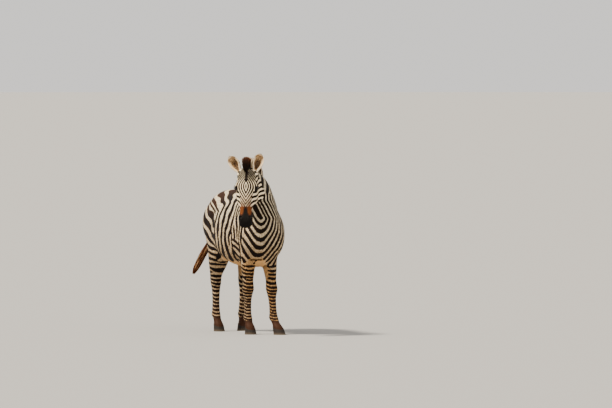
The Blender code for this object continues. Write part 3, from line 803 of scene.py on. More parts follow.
def chest_field(points):
    """Loops round the middle of the chest, the chest's share of each place, and the way aside."""
    x, y, z = points.T
    middle = track(z, (0.95, -0.08), (1.05, -0.098), (1.14, -0.16), (1.21, -0.21))
    wall = [(z_, y_) for _, _, _, _, y_, z_, _ in NECK]
    behind = y - track(z, (0.70, -0.58), (0.76, -0.626), *[stop for stop in wall if stop[0] > 0.8])
    aside = np.abs(x - middle)
    drop = np.maximum(0, 1.06 - z) + 0.02 * np.exp(-((aside / 0.025) ** 2))
    loop = (aside**V_SHAPE + (drop / 1.82) ** V_SHAPE) ** (1 / V_SHAPE)
    radius = np.sqrt(loop**2 + (0.45 * np.maximum(0, behind)) ** 2)
    share = rise(0.20 - behind, 0.0, 0.10) * rise(-0.36 - y, 0.0, 0.05) * rise(1.30 - z, 0, 0.06)
    field = track(radius, *CHEST_RINGS, (0.270, 5), (0.34, 3), (0.41, 1))
    return field, share, aside


print("loops of the chest:", len(CHEST_RINGS))

# %% Bands of the haunch and rings of the legs
# Heights of the dark bands and rings of the haunch and of each leg, from the top down
HAUNCH_DARKS = (1.180, 1.067, 0.940, 0.828, 0.765, 0.712, 0.650, 0.610)
HIND_RINGS = tuple(0.568 - 0.0400 * k + 0.00042 * k * k for k in range(14))
HAUNCH_SLOPES = ((0.55, 0.0), (0.61, 0.12), (0.65, 0.22), (0.765, 0.30), (0.828, 0.45))
HAUNCH_SLOPES += ((0.94, 0.59), (1.067, 0.48), (1.18, 0.33), (1.35, 0.25))
FORE_RINGS = tuple(0.604 - 0.0360 * k + 0.00040 * k * k for k in range(17))
SHOULDER_DARKS = (0.878, 0.817, 0.751, 0.692, 0.645)
FRONT_DROOP = 0.35


def haunch_field(points, leg_y):
    """Broad bands that climb to the rear over the haunch and level out into rings down the leg."""
    y, z = points[:, 1], points[:, 2]
    level = z.copy()
    for _ in range(6):
        slope = track(level, *HAUNCH_SLOPES)
        level = z - slope * (y - 0.25)
    level += FRONT_DROOP * rise(0.60 - z, 0, 0.12) * (leg_y - y)
    middles = (1.290, *HAUNCH_DARKS, *HIND_RINGS)
    edge = track(z, (0.66, 0.173), (0.72, 0.131), (0.78, 0.066), (0.89, 0.041), (1.0, 0.047), (1.06, 0.02))
    share = rise(y - edge, 0.022, 0.046) * rise(1.12 + 0.36 * (y - 0.25) - z, -0.012, 0.012)
    return passed(level, middles), share


def foreleg_field(points, leg_y):
    """Chevrons over the shoulder that level out into rings down the leg."""
    x, y, z = points.T
    lean = track(z, (0.60, FRONT_DROOP), (0.68, 0.25), (0.75, 0.65))
    inward = np.maximum(0, 0.215 - np.abs(x)) * rise(z, 0.60, 0.70)
    level = z + lean * (leg_y - y + inward)
    return passed(level, (*SHOULDER_DARKS, *FORE_RINGS))


print("bands of the haunch:", len(HAUNCH_DARKS), "rings of a leg:", len(HIND_RINGS), len(FORE_RINGS))

# %% Forks
# Places where a stripe forks, in pairs that open and close: side, y and z of both ends
FORKS = (
    (-1, -0.345, 1.06, -0.325, 0.98),
    (-1, -0.255, 0.80, -0.290, 0.90),
    (-1, -0.560, 1.22, -0.600, 1.14),
    (1, -0.300, 0.98, -0.330, 1.10),
    (1, -0.120, 0.93, -0.150, 1.05),
    (1, 0.330, 0.90, 0.290, 1.00),
    (1, -0.640, 1.20, -0.590, 1.26),
    (-1, -0.440, 0.50, -0.370, 0.47),
    (-1, -0.380, 0.33, -0.450, 0.30),
    (1, -0.540, 0.49, -0.460, 0.46),
    (-1, 0.450, 0.52, 0.340, 0.55),
    (1, 0.380, 0.50, 0.470, 0.47),
    (1, 0.440, 0.30, 0.500, 0.33),
)


def forked(points, side):
    """An extra turn of the field round one end of each fork, undone round the other end."""
    y, z = points[:, 1], points[:, 2]
    extra = np.zeros(len(points))
    for on_side, y_a, z_a, y_b, z_b in FORKS:
        turns = np.arctan2(z - z_a, y - y_a) - np.arctan2(z - z_b, y - y_b)
        extra += np.where(side == on_side, turns / (2 * math.pi), 0)
    return extra


print("forks:", len(FORKS))

# %% Marks of the face
FACE_LINE = 0.0210
CHEEK_BAR = 0.045
DIAMOND_MIDDLE = 0.185


def face_marks(across, down, out):
    """Stripe strength on the face, and how sooty, rusty and grey each place is."""
    aside = np.abs(across)
    from_middle = down - DIAMOND_MIDDLE
    climb = (np.sqrt(from_middle**2 + 0.05**2) - 0.05) * np.where(from_middle < 0, 0.95, 0.70)
    lines = stripes((aside + climb) / FACE_LINE) + 0.60 + 0.25 * rise(0.18 - down, 0, 0.10)
    lines = np.maximum(lines, 2 * rise(0.014 - aside, 0, 0.006) * rise(0.150 - down, 0, 0.02) - 1)
    tilt = 0.50 * (0.06 - out) + 0.25 * aside + 0.0035 * np.sin(60 * out + 25 * down)
    bars = stripes((down + tilt) / CHEEK_BAR) + 0.15
    border = track(down, (0.17, 0.100), (0.215, 0.064), (0.28, 0.052), (0.36, 0.040))
    cheek = rise(np.maximum(aside - border, (0.012 - out) * 1.2), -0.004, 0.006)
    ink = blend(lines, bars, cheek)
    nose = rise(down, 0.235, 0.29) * (1 - cheek)
    low_nose = rise(down, 0.275, 0.340) * (1 - cheek)
    ink = ink * (1 - 0.75 * nose - 0.17 * low_nose) - 0.04 * nose + 0.075 * low_nose
    eye_gap = ((down - EYE_PLACE[1]) / 1.5) ** 2 + (out - EYE_PLACE[2]) ** 2 + (aside - 0.088) ** 2
    eye_gap = np.sqrt(eye_gap)
    ink = np.maximum(ink, 2.4 * rise(0.030 - eye_gap, 0, 0.012) - 1)
    soot = rise(down + 0.10 * np.maximum(0, -out) - 0.02 * rise(aside, 0.02, 0.05), 0.362, 0.400)
    rust = 1.4 * np.exp(-(((aside - 0.037) / 0.022) ** 2) - ((down - 0.400) / 0.046) ** 2)
    rust = np.minimum(rust, 1) * rise(out, -0.02, 0.02)
    soot = soot * (1 - 0.85 * rust)
    return blend(ink, 1, soot), soot, rust, nose


print("face marks at the forehead:", [round(float(m), 2) for m in face_marks(0.0, 0.05, 0.05)])


# %% All marks together
TAIL_RING = 0.046


def body_ink(points, side, outward):
    """Stripe strength on trunk, neck and legs, and the share of each place in the chest's tan point."""
    x, y, z = points.T
    leg_y = lines_of_legs(points)[1]
    wave = 0.09 * np.sin(23 * y + 17 * z + 9 * x) + 0.06 * np.sin(41 * z - 31 * y + 25 * x + 1.0)
    wave = wave + forked(points, side)
    flank = flank_field(points)
    ink = stripes(flank + wave) + track(y, (-0.60, 0.24), (-0.2, 0.20), (0.1, 0.20))

    loops, on_chest, aside = chest_field(points)
    ink_chest = stripes(loops + 0.03 * np.sin(41 * z - 31 * y)) + 0.20
    low_chest = rise(0.692 - z, 0.0, 0.012) * rise(0.035 + 0.9 * (0.705 - z) - aside, 0, 0.012)
    bar = rise(0.048 - aside, 0, 0.01) * rise(z, 0.664, 0.670)
    mark = np.maximum(rise(0.012 - aside, 0, 0.006), bar) * rise(z, 0.630, 0.640) * rise(0.682 - z, 0, 0.006)
    ink = blend(ink, blend(ink_chest, 2 * mark - 1, low_chest), on_chest)

    over_leg = rise(0.87 - z, 0, 0.03) * rise(flank, 4.3, 4.6) * rise(6.95 - flank, 0, 0.25)
    over_leg = np.maximum(over_leg * rise(outward, -0.1, 0.2), rise(0.64 - z, 0, 0.03))
    on_foreleg = over_leg * (y < -0.10)
    thick = 0.10 + 0.25 * rise(0.60 - z, 0, 0.2)
    ink = blend(ink, stripes(foreleg_field(points, leg_y) + wave) + thick, on_foreleg)
    bands, on_haunch = haunch_field(points, leg_y)
    on_haunch = on_haunch * (y > 0)
    ink = blend(ink, stripes(bands + wave) + thick + 0.15 * rise(z, 0.65, 0.80), on_haunch)
    return ink, low_chest * on_chest


def markings(points, normals):
    """What the skin and the hair carry at each place: ink, warm, brown, soot and rust.

    Ink is above 0 in the dark stripes. Warm is the tan of the pale hair, brown the brown of the dark
    hair, which over the top of the croup is a painted sunlit sheen, soot the dark skin of the muzzle and
    rust the orange-brown of mane tips and nose patches."""
    x, y, z = points.T
    side = np.where(x < 0, -1.0, 1.0)
    outward, underneath = normals[:, 0] * side, -normals[:, 2]
    ink, tan_point = body_ink(points, side, outward)

    inner = rise(-outward, 0.55, 0.95) * rise(z, 0.45, 0.60) * rise(0.78 - z, 0, 0.05)
    belly = rise(underneath, 0.72, 0.96) * rise(0.80 - z, 0, 0.06) * rise(z, 0.55, 0.60)
    ink -= 3.0 * np.maximum(inner, belly)
    middle = rise(0.020 - np.abs(x), 0, 0.008) * rise(y, -0.36, -0.32) * rise(0.16 - y, 0, 0.04)
    ink = np.maximum(ink, (2 * middle - 1) * belly)
    spine = rise(0.013 - np.abs(x), 0, 0.006) * rise(normals[:, 2], 0.6, 0.8) * rise(y, -0.34, -0.28)
    ink = np.maximum(ink, 2 * spine - 1)
    on_tail = rise(y, 0.625, 0.645) * rise(1.17 - z, 0, 0.03)
    ink = blend(ink, stripes(z / TAIL_RING) - 0.25, on_tail)

    across, down, out, head = on_face(points, 0.022)
    ink_face, soot, rust, nose = face_marks(across, down, out)
    ink = blend(ink, ink_face, head)
    pastern = rise(0.135 - z, 0, 0.03)
    ink = np.maximum(ink, 1.5 * pastern - 0.5)

    low_side = rise(0.86 - z, 0, 0.22) * rise(z, 0.45, 0.60)
    warm = 0.05 + 0.42 * rise(1.15 - z, 0, 0.35) + 0.20 * low_side + 0.18 * rise(0.55 - z, 0, 0.2)
    warm += 0.75 * np.maximum(inner, belly) + 0.5 * tan_point
    warm = blend(warm, 0.10 + 0.15 * nose, head)
    # Over the top of the croup the dark hair is painted brown as a painted sunlit sheen; the lower legs and
    # pasterns are brown hair of their own.
    brown = 0.10 + 0.60 * rise(z, 1.00, 1.20) * rise(y, -0.05, 0.25) + 0.30 * rise(0.5 - z, 0, 0.3)
    brown += 0.50 * pastern
    brown = blend(brown, 0.10 + 0.50 * nose, head)
    return {
        "ink": ink,
        "warm": np.clip(warm, 0, 1),
        "brown": np.clip(brown, 0, 1),
        "soot": soot * head,
        "rust": rust * head,
    }


withers = markings(np.array([[0.0, -0.30, 1.28]]), np.array([[0.0, 0.0, 1.0]]))
print("marks on the withers:", {name: round(float(values[0]), 2) for name, values in withers.items()})


# %% Marks for other pieces, and marks on a mesh
def plain_marks(count, ink, warm=0.0, brown=0.0, soot=0.0):
    """Marks for so many places, each given as one number for all or as an array, with no rust."""
    marks = {"ink": ink, "warm": warm, "brown": brown, "soot": soot, "rust": 0.0}
    return {name: np.zeros(count) + values for name, values in marks.items()}


def paint(mesh, marks):
    """Keeps the marks on a mesh, one number of each for every vertex."""
    for name, values in marks.items():
        attribute = mesh.attributes.new(name, "FLOAT", "POINT")
        attribute.data.foreach_set("value", np.asarray(values, np.float32))


skin_marks = markings(places_of(skin.data), normals_of(skin.data))
paint(skin.data, skin_marks)
print("share of the skin that is dark:", round(float(np.mean(skin_marks["ink"] > 0)), 2))

# %% [markdown]
# ## Shader maths in plain sums
# A shader is a network of nodes, and long networks are hard to read. A small class wraps one socket,
# so that a sum or a product written in Python adds the Math node that does it.


# %% A value in a shader
# A Mix node keeps its sockets for numbers and for colours side by side, under the same names.
SHARE_SOCKET, FIRST_COLOUR_SOCKET, SECOND_COLOUR_SOCKET, MIXED_COLOUR_SOCKET = 0, 6, 7, 2


class Value:
    """A number on its way through a shader. Sums, products and powers of it add Math nodes."""

    def __init__(self, finish, socket):
        self.finish = finish
        self.socket = socket

    def maths(self, operation, *values):
        node = self.finish.node("ShaderNodeMath", {"operation": operation}, dict(enumerate(values)))
        return Value(self.finish, node.outputs[0])

    def __add__(self, other):
        return self.maths("ADD", self, other)

    def __sub__(self, other):
        return self.maths("SUBTRACT", self, other)

    def __mul__(self, other):
        return self.maths("MULTIPLY", self, other)

    def __rsub__(self, other):
        return self.maths("SUBTRACT", other, self)

    __radd__ = __add__
    __rmul__ = __mul__

    def rise(self, low, high):
        """0 below low, 1 above high, with a smooth way up."""
        inputs = {"Value": self, "From Min": low, "From Max": high}
        node = self.finish.node("ShaderNodeMapRange", {"interpolation_type": "SMOOTHSTEP"}, inputs)
        return Value(self.finish, node.outputs["Result"])


print("a value can:", [name for name in vars(Value) if not name.startswith("_")])


# %% A finish to build
class Finish:
    """A material on its way: node adds any node, and the other methods are short ways to common ones."""

    def __init__(self, name):
        self.material = bpy.data.materials.new(name)
        self.material.use_nodes = True
        self.tree = self.material.node_tree
        self.tree.nodes.clear()

    def node(self, kind, settings=None, inputs=None):
        """A node of this type, with its settings made first and then its sockets filled or linked."""
        made = self.tree.nodes.new(kind)
        for name, value in (settings or {}).items():
            setattr(made, name, value)
        for key, value in (inputs or {}).items():
            if isinstance(value, Value):
                value = value.socket
            if isinstance(value, bpy.types.NodeSocket):
                self.tree.links.new(value, made.inputs[key])
            else:
                made.inputs[key].default_value = value
        return made

    def carried(self, name):
        """A number that the mesh carries on its vertices."""
        return Value(self, self.node("ShaderNodeAttribute", {"attribute_name": name}).outputs["Fac"])

    def place(self, scale):
        """Places on the object, stretched by a scale for each direction."""
        coordinates = self.node("ShaderNodeTexCoord").outputs["Object"]
        inputs = {0: coordinates, 1: scale}
        return self.node("ShaderNodeVectorMath", {"operation": "MULTIPLY"}, inputs).outputs[0]

    def noise(self, scale, detail=2.0):
        """Cloudy noise from 0 to 1 with so many clouds to the metre in each direction."""
        inputs = {"Vector": self.place(scale), "Scale": 1.0, "Detail": detail}
        return Value(self, self.node("ShaderNodeTexNoise", inputs=inputs).outputs["Fac"])

    def mix(self, share, first, second):
        """From the first colour to the second."""
        first, second = [(*c, 1.0) if isinstance(c, tuple) else c for c in (first, second)]
        inputs = {SHARE_SOCKET: share, FIRST_COLOUR_SOCKET: first, SECOND_COLOUR_SOCKET: second}
        return self.node("ShaderNodeMix", {"data_type": "RGBA"}, inputs).outputs[MIXED_COLOUR_SOCKET]

    def bump(self, height, depth):
        """Dents for a height from 0 to 1, so many metres deep."""
        inputs = {"Height": height, "Distance": depth, "Strength": 1.0}
        return self.node("ShaderNodeBump", inputs=inputs).outputs["Normal"]

    def done(self, **sockets):
        """Closes the material with a Principled shader. Underscores stand for spaces."""
        inputs = {name.replace("_", " "): value for name, value in sockets.items()}
        inputs = {key: (*v, 1.0) if isinstance(v, tuple) else v for key, v in inputs.items()}
        shader = self.node("ShaderNodeBsdfPrincipled", inputs=inputs)
        self.node("ShaderNodeOutputMaterial", inputs={"Surface": shader.outputs[0]})
        return self.material


print("shader tools ready")

# %% [markdown]
# ## The coat's colours
# White hair is really cream, and tan under the belly and inside the legs. Dark hair is black on the
# neck and shoulders and brown on the pasterns, and over the top of the croup it is painted brown as a
# sunlit sheen. The shader reads the marks, frays the stripes' edges with fine noise, and gives the short
# hair its grain as bump.

# %% The coat's finish
CREAM = (0.96, 0.82, 0.58)
TAN = (0.62, 0.34, 0.125)
BLACK = (0.0025, 0.002, 0.002)
BROWN = (0.036, 0.0145, 0.0075)
SOOT = (0.006, 0.005, 0.0045)
RUST = (0.13, 0.036, 0.009)
DUST = (0.52, 0.38, 0.22)


def coat_finish(name, grain):
    """Striped hair, the same on skin, tufts, ears, lids, mane and tail."""
    finish = Finish(name)
    fray = finish.noise((170, 60, 90), 3.0)
    patches = finish.noise((9, 9, 9), 3.0)
    ink = (finish.carried("ink") + (fray - 0.5) * 0.30).rise(-0.14, 0.14)
    pale = finish.mix(finish.carried("warm") + (patches - 0.5) * 0.35, CREAM, TAN)
    dark = finish.mix(finish.carried("brown") + (patches - 0.5) * 0.30, BLACK, BROWN)
    colour = finish.mix(ink, pale, dark)
    colour = finish.mix(finish.carried("rust") + (fray - 0.5) * 0.2, colour, RUST)
    colour = finish.mix((finish.carried("soot") + (fray - 0.5) * 0.25).rise(0.2, 0.8), colour, SOOT)
    hairs = finish.noise((900, 120, 420), 2.0)
    colour = finish.mix((1 - ink) * (hairs - 0.40) * 0.10, colour, DUST)
    height = hairs * 0.7 + finish.noise((60, 30, 40), 2.0) * 0.6
    return finish.done(
        Base_Color=colour,
        Roughness=0.70 - ink * 0.12,
        Normal=finish.bump(height, grain),
        Specular_IOR_Level=0.05,
    )


COAT = coat_finish("coat", 0.0010)
skin.data.materials.append(COAT)
print("coat nodes", len(COAT.node_tree.nodes))

# %% [markdown]
# ## Eyes
# A zebra's eye is a large dark ball with a clear cornea: a brown iris round a pupil that lies level,
# like a slot. The ball's own frame looks out of the head, so the iris is painted by angles from that
# axis. Lids are bands that hug the ball round an almond-shaped opening, with short lashes above.

# %% The eyeballs
EYE_LOOK = Vector((0.90, -0.06, 0.42)).normalized()
CORNEA_LIFT = 0.05


def eye_frame(side):
    """The eye's frame: towards its front corner, up to the upper lid, and out through the pupil."""
    look = (HEAD_FRAME.to_3x3() @ Vector((side * EYE_LOOK.x, EYE_LOOK.y, EYE_LOOK.z))).normalized()
    front = DOWN - look * DOWN.dot(look)
    front.normalize()
    lid = front.cross(look) * -side
    centre = on_head(side * EYE_PLACE[0], *EYE_PLACE[1:])
    return Matrix.Translation(centre) @ Matrix((front, lid, look)).transposed().to_4x4()


def eyeball(name, side):
    """A ball with a slightly raised cornea, which carries shares of iris and pupil."""
    shape = bmesh.new()
    bmesh.ops.create_uvsphere(shape, u_segments=48, v_segments=32, radius=EYE_RADIUS)
    local = np.array([v.co for v in shape.verts]) / EYE_RADIUS
    cornea = rise(local[:, 2], 0.72, 0.95) * CORNEA_LIFT
    for vert, bulge in zip(shape.verts, cornea):
        vert.co *= 1 + bulge
    bmesh.ops.transform(shape, matrix=eye_frame(side), verts=shape.verts)
    bmesh.ops.recalc_face_normals(shape, faces=shape.faces)
    mesh = mesh_from(shape, name)
    mesh.shade_smooth()
    pupil = np.sqrt((local[:, 0] / 0.42) ** 2 + (local[:, 1] / 0.20) ** 2)
    iris = np.sqrt(local[:, 0] ** 2 + local[:, 1] ** 2)
    front = local[:, 2] > 0
    paint(mesh, {"pupil": rise(1.08 - pupil, 0, 0.16) * front, "iris": rise(0.72 - iris, 0, 0.08) * front})
    return new_object(name, mesh, WET_EYE)


def eye_finish():
    finish = Finish("wet_eye")
    rays = finish.noise((700, 700, 700), 2.0)
    iris = finish.mix(rays, (0.018, 0.008, 0.004), (0.045, 0.020, 0.010))
    colour = finish.mix(finish.carried("iris"), (0.012, 0.009, 0.008), iris)
    colour = finish.mix(finish.carried("pupil"), colour, (0.004, 0.004, 0.006))
    return finish.done(Base_Color=colour, Roughness=0.16, Coat_Weight=0.6, Coat_Roughness=0.03)


WET_EYE = eye_finish()
eyes = {name: eyeball(name + "_ball", side) for name, side in (("eye_right", -1), ("eye_left", 1))}
print("eyes", [len(eye.data.polygons) for eye in eyes.values()])


# %% The eyelids
# Half of the opening's angle along the eye, above and below, and each band's angle and lift further on
LID_OPENING = (math.radians(50), math.radians(31), math.radians(25))
LID_BANDS = ((-3, -0.0012), (0, 0.0012), (5, 0.0030), (13, 0.0044), (24, 0.0040), (40, 0.0005), (58, -0.006))
LID_INK = 0.3


def on_ball(tilt_x, tilt_y):
    """Directions out of the eye's middle, tilted towards its corners and towards its lids."""
    turn = np.sqrt(tilt_x**2 + tilt_y**2)
    return np.stack([np.sin(turn) * tilt_x / turn, np.sin(turn) * tilt_y / turn, np.cos(turn)], 1)


def from_eye(local, side):
    """Points of the eye's frame in the body's coordinates."""
    place = np.array(eye_frame(side))
    return local @ place[:3, :3].T + place[:3, 3]


def eyelids(name, side, around=48):
    """Both lids of an eye as one ring of bands round its opening, dark at the edge."""
    angle = np.arange(around) * 2 * math.pi / around
    along, across = np.cos(angle), np.sin(angle)
    points = []
    for wider, lift in LID_BANDS:
        reach_along = LID_OPENING[0] + math.radians(wider) * 0.85
        reach_across = np.where(across > 0, LID_OPENING[1], LID_OPENING[2]) + math.radians(wider)
        crease = 0.0010 * np.exp(-(((wider - 13) / 6) ** 2)) * (across > 0.2)
        radius = EYE_RADIUS + lift - crease
        ways = on_ball(reach_along * along, reach_across * across * (1 - 0.25 * along**2))
        points.append(ways * radius[:, None])
    world = from_eye(np.vstack(points), side)
    rows = np.arange(len(LID_BANDS) - 1)[:, None] * around
    here, after = rows + np.arange(around), rows + (np.arange(around) + 1) % around
    faces = np.stack([here, after, after + around, here + around], -1).reshape(-1, 4)
    if side > 0:
        faces = faces[:, ::-1]
    mesh = mesh_of(name, world, faces)
    rim = np.repeat([1 - rise(wider, 8, 20) for wider, _ in LID_BANDS], around)
    marks = markings(world, normals_of(mesh))
    marks["soot"] = np.maximum(marks["soot"], rim)
    marks["ink"] = np.maximum(marks["ink"], LID_INK)
    paint(mesh, marks)
    return new_object(name, mesh, COAT)


lids = [eyelids("lids_right", -1), eyelids("lids_left", 1)]
print("lids", [len(lid.data.polygons) for lid in lids])

# %% [markdown]
# ## Ears
# Each ear is a curled leaf: wide open at the front, closed to a tube at its root. It is two surfaces a
# few millimetres apart with a rounded rim between them. The inside is grey-brown with a pale rim, with
# painted shade darkening the deep middle of its hollow; the back is white with dark bands and a dark tip.

# %% The ears
EAR_ACROSS = 28
EAR_BETWEEN = 6


def ear_frame(name):
    """An ear's root, and the ways it points, opens and lies across."""
    root, pointing, opening = EARS[name]
    axis = unit(HEAD_AXES @ np.array(pointing))
    opens = HEAD_AXES @ np.array(opening)
    opens = unit(opens - axis * (opens @ axis))
    return np.array(on_head(*root)), axis, opens, np.cross(axis, opens)


def ear_sheet(name, offset):
    """The ear's middle surface, moved by an offset to the outside: points, shares along and across."""
    root, axis, opens, side = ear_frame(name)
    rows = smooth_rows(EAR, EAR_BETWEEN)
    share, half_width = rows[:, 0], np.maximum(rows[:, 1], 0.002)
    half_angle = np.radians(rows[:, 2])
    radius = half_width / np.sin(np.minimum(half_angle, math.pi / 2))
    backward = 0.016 * np.sin(math.pi * share) + (radius - half_width) * 0.5
    across = np.linspace(-1, 1, EAR_ACROSS + 1)
    angle = half_angle[:, None] * across
    edge = rise(1.0 - np.abs(across), 0.0, 0.10)
    grown = radius[:, None] + offset * edge * rise(1.02 - share, 0, 0.06)[:, None]
    middle = root + np.outer(EAR_LENGTH * share, axis) - np.outer(backward, opens)
    reach = np.sin(angle)[..., None] * side - np.cos(angle)[..., None] * opens
    return middle[:, None] + reach * grown[..., None], share, across


def ear_piece(name):
    """An ear's two faces and the rim that joins them."""
    outer, share, across = ear_sheet(name, EAR_THICKNESS / 2)
    inner = ear_sheet(name, -EAR_THICKNESS / 2)[0]
    rows, columns = outer.shape[:2]
    count = rows * columns
    grid = np.arange(count).reshape(rows, columns)
    quads = np.stack([grid[:-1, :-1], grid[:-1, 1:], grid[1:, 1:], grid[1:, :-1]], -1).reshape(-1, 4)
    edge = np.concatenate([grid[:, 0], grid[-1, 1:], grid[-2::-1, -1]])
    rim = np.stack([edge[:-1], edge[1:], edge[1:] + count, edge[:-1] + count], -1)
    points = np.vstack([outer.reshape(-1, 3), inner.reshape(-1, 3)])
    mesh = mesh_of(name + "_shell", points, quads, quads[:, ::-1] + count, rim[:, ::-1])
    along = np.tile(np.repeat(share, columns), 2)
    beside = np.tile(np.abs(across), 2 * rows)
    inside = np.repeat([0.0, 1.0], count)
    paint(mesh, ear_marks(along, beside, inside))
    return new_object(name + "_shell", mesh, COAT)


def ear_marks(along, beside, inside):
    """Marks of an ear, by the share of its length, how near it is to its edge, and which face it is."""
    pale_rim = np.maximum(rise(beside, 0.86, 0.94), rise(along, 0.93, 0.97))
    back = np.maximum(rise(along, 0.80, 0.84), rise(along, 0.34, 0.40) * rise(0.60 - along, 0, 0.06))
    tip = rise(along, 0.92, 0.96)
    # deep and hollow paint shade into the ear: the inside grows darker towards the deep middle of its
    # hollow.
    deep = rise(0.62 - beside, 0, 0.45) * rise(along, 0.08, 0.3) * rise(0.88 - along, 0, 0.3)
    hollow = 0.502 + 0.05 * deep
    ink = inside * (2 * hollow * (1 - pale_rim) - 1) + (1 - inside) * (2 * np.maximum(back, tip) - 1)
    warm = 0.75 * inside * (1 - pale_rim) + 0.05
    return plain_marks(len(along), ink=ink, warm=warm, brown=0.60 * inside)


ears = {name: ear_piece(name) for name in EARS}
print("ears", [len(ear.data.polygons) for ear in ears.values()])

# %% [markdown]
# ## Hooves
# A hoof is a blunt cone of horn that widens to the ground. The leg's own loft, cut off at the slanting
# coronet and at the ground, gives its exact shape. Growth rings and dust near the sole are its finish.


# %% The hooves
def cut_flat(shape, point, normal):
    """Cuts away what lies beyond a plane and closes the hole."""
    everything = [*shape.verts, *shape.edges, *shape.faces]
    cut = bmesh.ops.bisect_plane(shape, geom=everything, plane_co=point, plane_no=normal, clear_outer=True)
    edges = [item for item in cut["geom_cut"] if isinstance(item, bmesh.types.BMEdge)]
    bmesh.ops.edgeloop_fill(shape, edges=edges)


def hoof(leg):
    """The horn of one foot, between its coronet and the ground."""
    shape = leg_shape(leg, between=12, count=64)
    cut_flat(shape, coronet(leg), -Vector(CORONET_WAY))
    cut_flat(shape, (0, 0, 0), (0, 0, -1))
    bmesh.ops.recalc_face_normals(shape, faces=shape.faces)
    mesh = mesh_from(shape, leg + "_horn")
    mesh.shade_smooth()
    mesh.set_sharp_from_angle(angle=math.radians(50))
    return new_object(leg + "_horn", mesh, HORN)


def horn_finish():
    finish = Finish("horn")
    places = finish.node("ShaderNodeSeparateXYZ", inputs={0: finish.place((1, 1, 1))})
    height = Value(finish, places.outputs["Z"])
    streaks = finish.noise((260, 260, 25), 3.0)
    rings = (height * 900 + finish.noise((30, 30, 30)) * 5).maths("SINE")
    colour = finish.mix(streaks, (0.008, 0.0065, 0.006), (0.030, 0.023, 0.018))
    dusty = (1 - height.rise(0.0, 0.030)) * (streaks * 0.22 + 0.02)
    colour = finish.mix(dusty, colour, (0.36, 0.26, 0.16))
    bump = finish.bump(rings * 0.4 + streaks * 0.6, 0.0008)
    return finish.done(Base_Color=colour, Roughness=0.65 + dusty * 0.25, Normal=bump, Specular_IOR_Level=0.1)


HORN = horn_finish()
hooves = {leg: hoof(leg) for leg in LEGS}
print("hooves", [len(piece.data.polygons) for piece in hooves.values()])

# %% [markdown]
# ## Locks of hair
# All hair is made by one function: every lock follows its own path of points and narrows to its tip.
# A flat lock of two edges lies on the coat, and a round one of three stands in the mane. The locks of
# a piece are one joined mesh, made from arrays. A map named OFBake gives each lock a small patch at its
# root's place on an unwrap of the skin, so that colours can be baked lock by lock.

# %% Locks from arrays
PATCH = 0.003
LOCK_FLATNESS = 0.6


def locks(name, paths, sides, widths, corners, marks, roots_uv):
    """A mesh of locks. Paths is locks x points x 3, and sides points across each lock's root."""
    count, steps = paths.shape[:2]
    rings = steps - 1
    ways = unit(np.gradient(paths, axis=1))
    sides = unit(sides[:, None] - ways * np.sum(sides[:, None] * ways, -1, keepdims=True))
    faces_out = np.cross(ways, sides)
    taper = 1 - (np.arange(rings) / rings) ** 2.2
    turn = np.arange(corners) * 2 * math.pi / corners
    spread = widths[:, None, None, None] * taper[:, None, None]
    around = np.cos(turn)[:, None] * sides[:, :rings, None]
    around = around + LOCK_FLATNESS * np.sin(turn)[:, None] * faces_out[:, :rings, None]
    body = (paths[:, :rings, None] + spread * around).reshape(count, -1, 3)
    points = np.concatenate([body, paths[:, -1:]], 1)
    per = points.shape[1]
    first = np.arange(count)[:, None] * per
    strips = np.arange(1 if corners == 2 else corners)
    here = np.arange(rings)[:, None] * corners + strips
    beyond = np.arange(rings)[:, None] * corners + (strips + 1) % corners
    quads = np.stack([here[:-1], beyond[:-1], beyond[1:], here[1:]], -1).reshape(-1, 4)
    tips = np.stack([here[-1], beyond[-1], np.full(len(strips), per - 1)], -1)
    quads = (first[..., None] + quads).reshape(-1, 4)
    tips = (first[..., None] + tips).reshape(-1, 3)
    mesh = mesh_of(name, points.reshape(-1, 3), quads, tips)
    along = np.append(np.repeat(np.arange(rings) / rings, corners), 1.0)
    paint(mesh, {key: spread_over(values, along) for key, values in marks.items()})
    beside = np.append(np.tile(np.cos(turn), rings), 0.0) * 0.5
    patch = roots_uv[:, None] + PATCH * np.stack([beside, along - 0.5], -1)
    patch = patch.reshape(-1, 2)[read(mesh.loops, "vertex_index")]
    mesh.uv_layers.new(name="OFBake").data.foreach_set("uv", patch.astype(np.float32).ravel())
    return new_object(name, mesh, COAT)


def straight_paths(roots, ways, lengths, count):
    """Straight paths of so many points, and the points' shares of the length."""
    steps = np.linspace(0, 1, count)
    return roots[:, None] + (ways * lengths[:, None])[:, None] * steps[:, None], steps


def spread_over(values, along):
    """A lock's number for each of its vertices: one for all, or from root to tip."""
    values = np.asarray(values, float)
    if values.ndim == 1:
        return np.repeat(values, len(along))
    return blend(values[:, :1], values[:, 1:], along).ravel()


print("hair tools ready")

# %% An unwrap of the skin
# Cells of the unwrap: left edge, lower edge, width and height, for trunk, head, the legs and the tail
CELLS = np.array(
    (
        (0.01, 0.01, 0.50, 0.98),
        (0.53, 0.51, 0.24, 0.47),
        (0.53, 0.26, 0.12, 0.23),
        (0.67, 0.26, 0.12, 0.23),
        (0.81, 0.26, 0.12, 0.23),
        (0.53, 0.01, 0.12, 0.23),
        (0.67, 0.01, 0.12, 0.23),
    )
)


